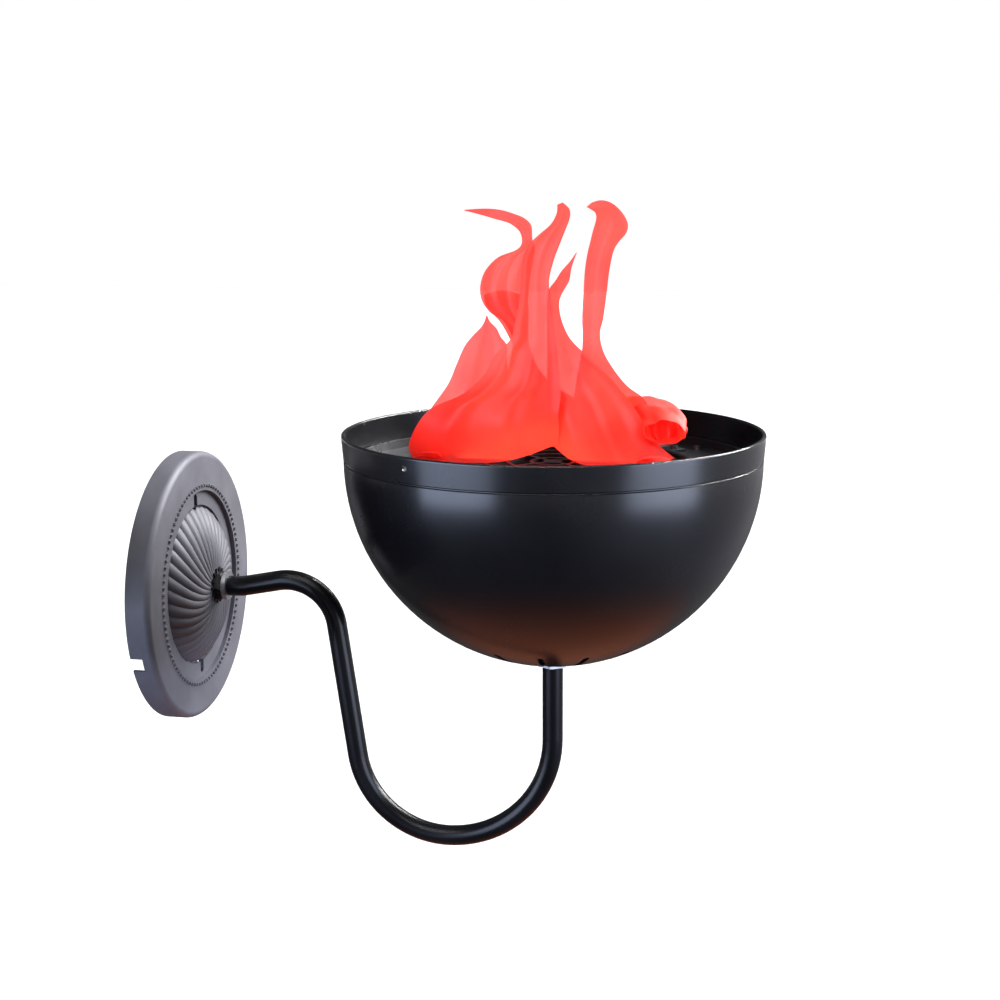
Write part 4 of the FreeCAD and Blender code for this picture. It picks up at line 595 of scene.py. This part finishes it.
def silk_piece(name, node, patches):
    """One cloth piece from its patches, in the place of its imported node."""
    mesh = bpy.data.meshes.new(name)
    points = []
    faces = []
    for patch_points, patch_faces in patches:
        start = len(points)
        points += patch_points
        faces += [tuple(start + k for k in face) for face in patch_faces]
    mesh.from_pydata(points, [], faces)
    mesh.polygons.foreach_set("use_smooth", [True] * len(mesh.polygons))
    mesh.materials.append(FINISHES["red_silk"])
    piece = bpy.data.objects.new(name, mesh)
    bpy.context.collection.objects.link(piece)
    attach(piece, "lamp")
    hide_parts(node)


def silk_flame():
    """The six sheets of the flame."""
    silk_piece("silk_front_cloth", "silk_front",
               [hang_silk(FRONT_ROWS, FRONT_FOLDS, FRONT_HEM, FOOT_SWELL),
                rolled_silk(LEFT_TUCK, around=20, steps=4)])
    silk_piece("silk_left_cloth", "silk_left", [hang_silk(LEFT_ROWS, LEFT_FOLDS)])
    silk_piece("silk_back_cloth", "silk_back",
               [hang_silk(BACK_ROWS, BACK_FOLDS, BACK_HEM),
                hang_silk(BULGE_ROWS, BULGE_FOLDS, crown=BULGE_CROWN, across=24)])
    silk_piece("silk_right_cloth", "silk_right", [hang_silk(RIGHT_ROWS, RIGHT_FOLDS)])
    silk_piece("silk_middle_cloth", "silk_middle",
               [hang_silk(MIDDLE_ROWS, MIDDLE_FOLDS, MIDDLE_HEM, FOOT_SWELL),
                rolled_silk(RIGHT_TUCK, around=20, steps=4)])
    silk_piece("silk_fold_cloth", "silk_fold",
               [rolled_silk(FOLD_RINGS), hang_silk(FOLD_LINING, LINING_FOLDS, across=32)])


# Studio, in metres: reach and depth below the lamp of the floor and of the card under the bowl
FLOOR_REACH = 20
FLOOR_DROP = 1.1
CARD_REACH = 3
CARD_DROP = 0.3

# Card under the bowl: how far out from the bowl its grey begins and is full, and the middle, the edge
# and the core of its terracotta
GREY_FROM = 0.12
GREY_FULL = 0.7
WARM_SIDE = 0.16
WARM_EDGE = 0.5
WARM_CORE = 0.1
BLACK_PAPER = "#08080A"

# Flags: the places of their upright edges, and the heights of foot and top from the canopy's middle
SIDE_FLAG_EDGES = (-0.15, 0.02), (-0.15, 0.6)
SIDE_FLAG_SPAN = 0, 0.4
DOME_FLAG_EDGES = (-0.02, -0.065), (-0.13, -0.065)
DOME_FLAG_SPAN = -0.03, 0.06

# Lights: how bright the sky is as a light, height and distance of the soft boxes, distance and spread
# of the suns, and size, lift over the hoop and power of the lamp's own glow
SKY_LIGHT = 0.12
BOX_HEIGHT = 4
BOX_DISTANCE = 1.5
SUN_DISTANCE = 2
SUN_SPREAD = 50
GLOW_SIZE = 90 * MM
GLOW_LIFT = 2 * MM
GLOW_POWER = 0.09


def level_corners(reach, drop):
    """The corners of a level sheet at a depth below the lamp."""
    return [(x * reach, y * reach, LAMP_FOOT - drop) for x, y in ((-1, -1), (1, -1), (1, 1), (-1, 1))]


def upright_corners(edges, span):
    """The corners of an upright sheet between two places."""
    (near, far), (foot, top) = edges, (CANOPY_MIDDLE + height for height in span)
    return [(*near, foot), (*far, foot), (*far, top), (*near, top)]


def studio_card(name, corners, paper):
    """A flat sheet between its corners."""
    mesh = bpy.data.meshes.new(name)
    mesh.from_pydata(corners, [], [(0, 1, 2, 3)])
    mesh.materials.append(paper)
    card = bpy.data.objects.new(name, mesh)
    bpy.context.collection.objects.link(card)
    return card


def shaded_paper():
    """Black paper that fades to dark grey away from the wall and to terracotta under the bowl."""
    material, tree, shader, place = surface("shaded_paper", BLACK_PAPER, roughness=0.9)
    along = add(tree, "ShaderNodeSeparateXYZ", {}, {0: place})
    span = {"From Min": BOWL_AXIS_Y - GREY_FROM, "From Max": BOWL_AXIS_Y - GREY_FULL}
    side = add(tree, "ShaderNodeMapRange", {"interpolation_type": "SMOOTHSTEP", **span},
               {"Value": along.outputs["Y"]})
    grey = add(tree, "ShaderNodeMix", {"data_type": "RGBA", 6: linear(BLACK_PAPER), 7: linear("#44444A")},
               {0: side.outputs["Result"]})
    spot = (WARM_SIDE, BOWL_AXIS_Y, LAMP_FOOT - CARD_DROP)
    away = add(tree, "ShaderNodeVectorMath", {"operation": "DISTANCE", 1: spot}, {0: place})
    fall = {"From Min": WARM_EDGE, "From Max": WARM_CORE}
    near = add(tree, "ShaderNodeMapRange", {"interpolation_type": "SMOOTHSTEP", **fall},
               {"Value": away.outputs["Value"]})
    warm = add(tree, "ShaderNodeMix", {"data_type": "RGBA", 7: linear("#7A3C1C")},
               {0: near.outputs["Result"], 6: grey.outputs[2]})
    tree.links.new(warm.outputs[2], shader.inputs["Base Color"])
    return material


def floor_and_cards():
    """White paper below the lamp, and three cards that no view shows. The one close under the bowl
    keeps it dark and warms the undersides, and two black flags keep light off the canopy."""
    white = surface("white_paper", "#B8B8B8", roughness=0.9)[0]
    studio_card("floor", level_corners(FLOOR_REACH, FLOOR_DROP), white)
    under = studio_card("under_card", level_corners(CARD_REACH, CARD_DROP), shaded_paper())
    under.visible_shadow = False
    black = surface("black_paper", BLACK_PAPER, roughness=0.9)[0]
    side = studio_card("side_flag", upright_corners(SIDE_FLAG_EDGES, SIDE_FLAG_SPAN), black)
    dome = studio_card("dome_flag", upright_corners(DOME_FLAG_EDGES, DOME_FLAG_SPAN), black)
    for card in (under, side, dome):
        card.visible_camera = False


def sky():
    """A white backdrop that gives only a little light."""
    world = bpy.data.worlds.new("studio")
    bpy.context.scene.world = world
    world.use_nodes = True
    tree = world.node_tree
    backdrop = tree.nodes["Background"]
    backdrop.inputs["Color"].default_value = linear("#FFFFFF")
    seen = add(tree, "ShaderNodeLightPath", {}).outputs["Is Camera Ray"]
    level = add(tree, "ShaderNodeMapRange", {"To Min": SKY_LIGHT, "To Max": 1.0}, {"Value": seen})
    tree.links.new(level.outputs["Result"], backdrop.inputs["Strength"])
    bpy.context.scene.view_settings.view_transform = "Standard"


def direction(bearing, height):
    a, e = math.radians(bearing), math.radians(height)
    return Vector((math.sin(a) * math.cos(e), -math.cos(a) * math.cos(e), math.sin(e)))


def lamp_light(name, kind, power, colour):
    """A light that no view shows, with its object."""
    light = bpy.data.lights.new(name, kind)
    light.energy = power
    light.color = linear(colour)[:3]
    item = bpy.data.objects.new(name, light)
    bpy.context.collection.objects.link(item)
    item.visible_camera = False
    return light, item


def aim_light(item, bearing, height, distance):
    """Sets a light at a bearing, height and distance from the lamp's middle, and faces it there."""
    away = direction(bearing, height)
    item.location = LAMP_MIDDLE + away * distance
    item.rotation_euler = away.to_track_quat("Z", "Y").to_euler()


def soft_box(name, bearing, size, power, colour):
    """A wide soft light beside the lamp, for the glints on the bowl."""
    light, item = lamp_light(name, "AREA", power, colour)
    light.shape = "RECTANGLE"
    light.size, light.size_y = size
    aim_light(item, bearing, BOX_HEIGHT, BOX_DISTANCE)


def soft_sun(name, bearing, height, strength):
    """A far light with soft shadows. Multiple importance sampling is off, because with it the card
    under the bowl would darken the floor."""
    light, item = lamp_light(name, "SUN", strength, "#FFFFFF")
    light.angle = math.radians(SUN_SPREAD)
    light.cycles.use_multiple_importance_sampling = False
    aim_light(item, bearing, height, SUN_DISTANCE)


def silk_glow():
    """The light of the lamp's own modules, as the foot of the silk spreads it."""
    light, item = lamp_light("led_glow", "AREA", GLOW_POWER, "#FFC8A0")
    light.shape = "DISK"
    light.size = GLOW_SIZE
    item.location = (0, BOWL_AXIS_Y, HOOP_TOP + GLOW_LIFT)
    item.rotation_euler = (math.pi, 0, 0)
    item.visible_transmission = False
    item.visible_glossy = False


def lights():
    """Two soft boxes, a key and a fill round the camera's bearing, and the lamp's own glow."""
    soft_box("left_box", CAMERA_BEARING - 51, size=(1.2, 1.1), power=37, colour="#CFDEFF")
    soft_box("right_box", CAMERA_BEARING + 60, size=(1.1, 1.1), power=32, colour="#D6E2FF")
    soft_sun("key", CAMERA_BEARING + 118, height=38, strength=11.5)
    soft_sun("fill", CAMERA_BEARING - 8, height=60, strength=1.9)
    silk_glow()


def camera():
    """The camera as fitted to the photo."""
    data = bpy.data.cameras.new("camera")
    data.lens = CAMERA_LENS
    data.sensor_width = 36
    item = bpy.data.objects.new("camera", data)
    bpy.context.collection.objects.link(item)
    look = direction(LOOK_BEARING, LOOK_HEIGHT).to_track_quat("Z", "Y").to_matrix().to_4x4()
    roll = Matrix.Rotation(math.radians(CAMERA_ROLL), 4, "Z")
    place = Matrix.Translation(AIM + direction(CAMERA_BEARING, CAMERA_HEIGHT) * CAMERA_DISTANCE)
    item.matrix_world = place @ look @ roll
    bpy.context.scene.camera = item


dress_frame()
silk_flame()
floor_and_cards()
sky()
lights()
camera()
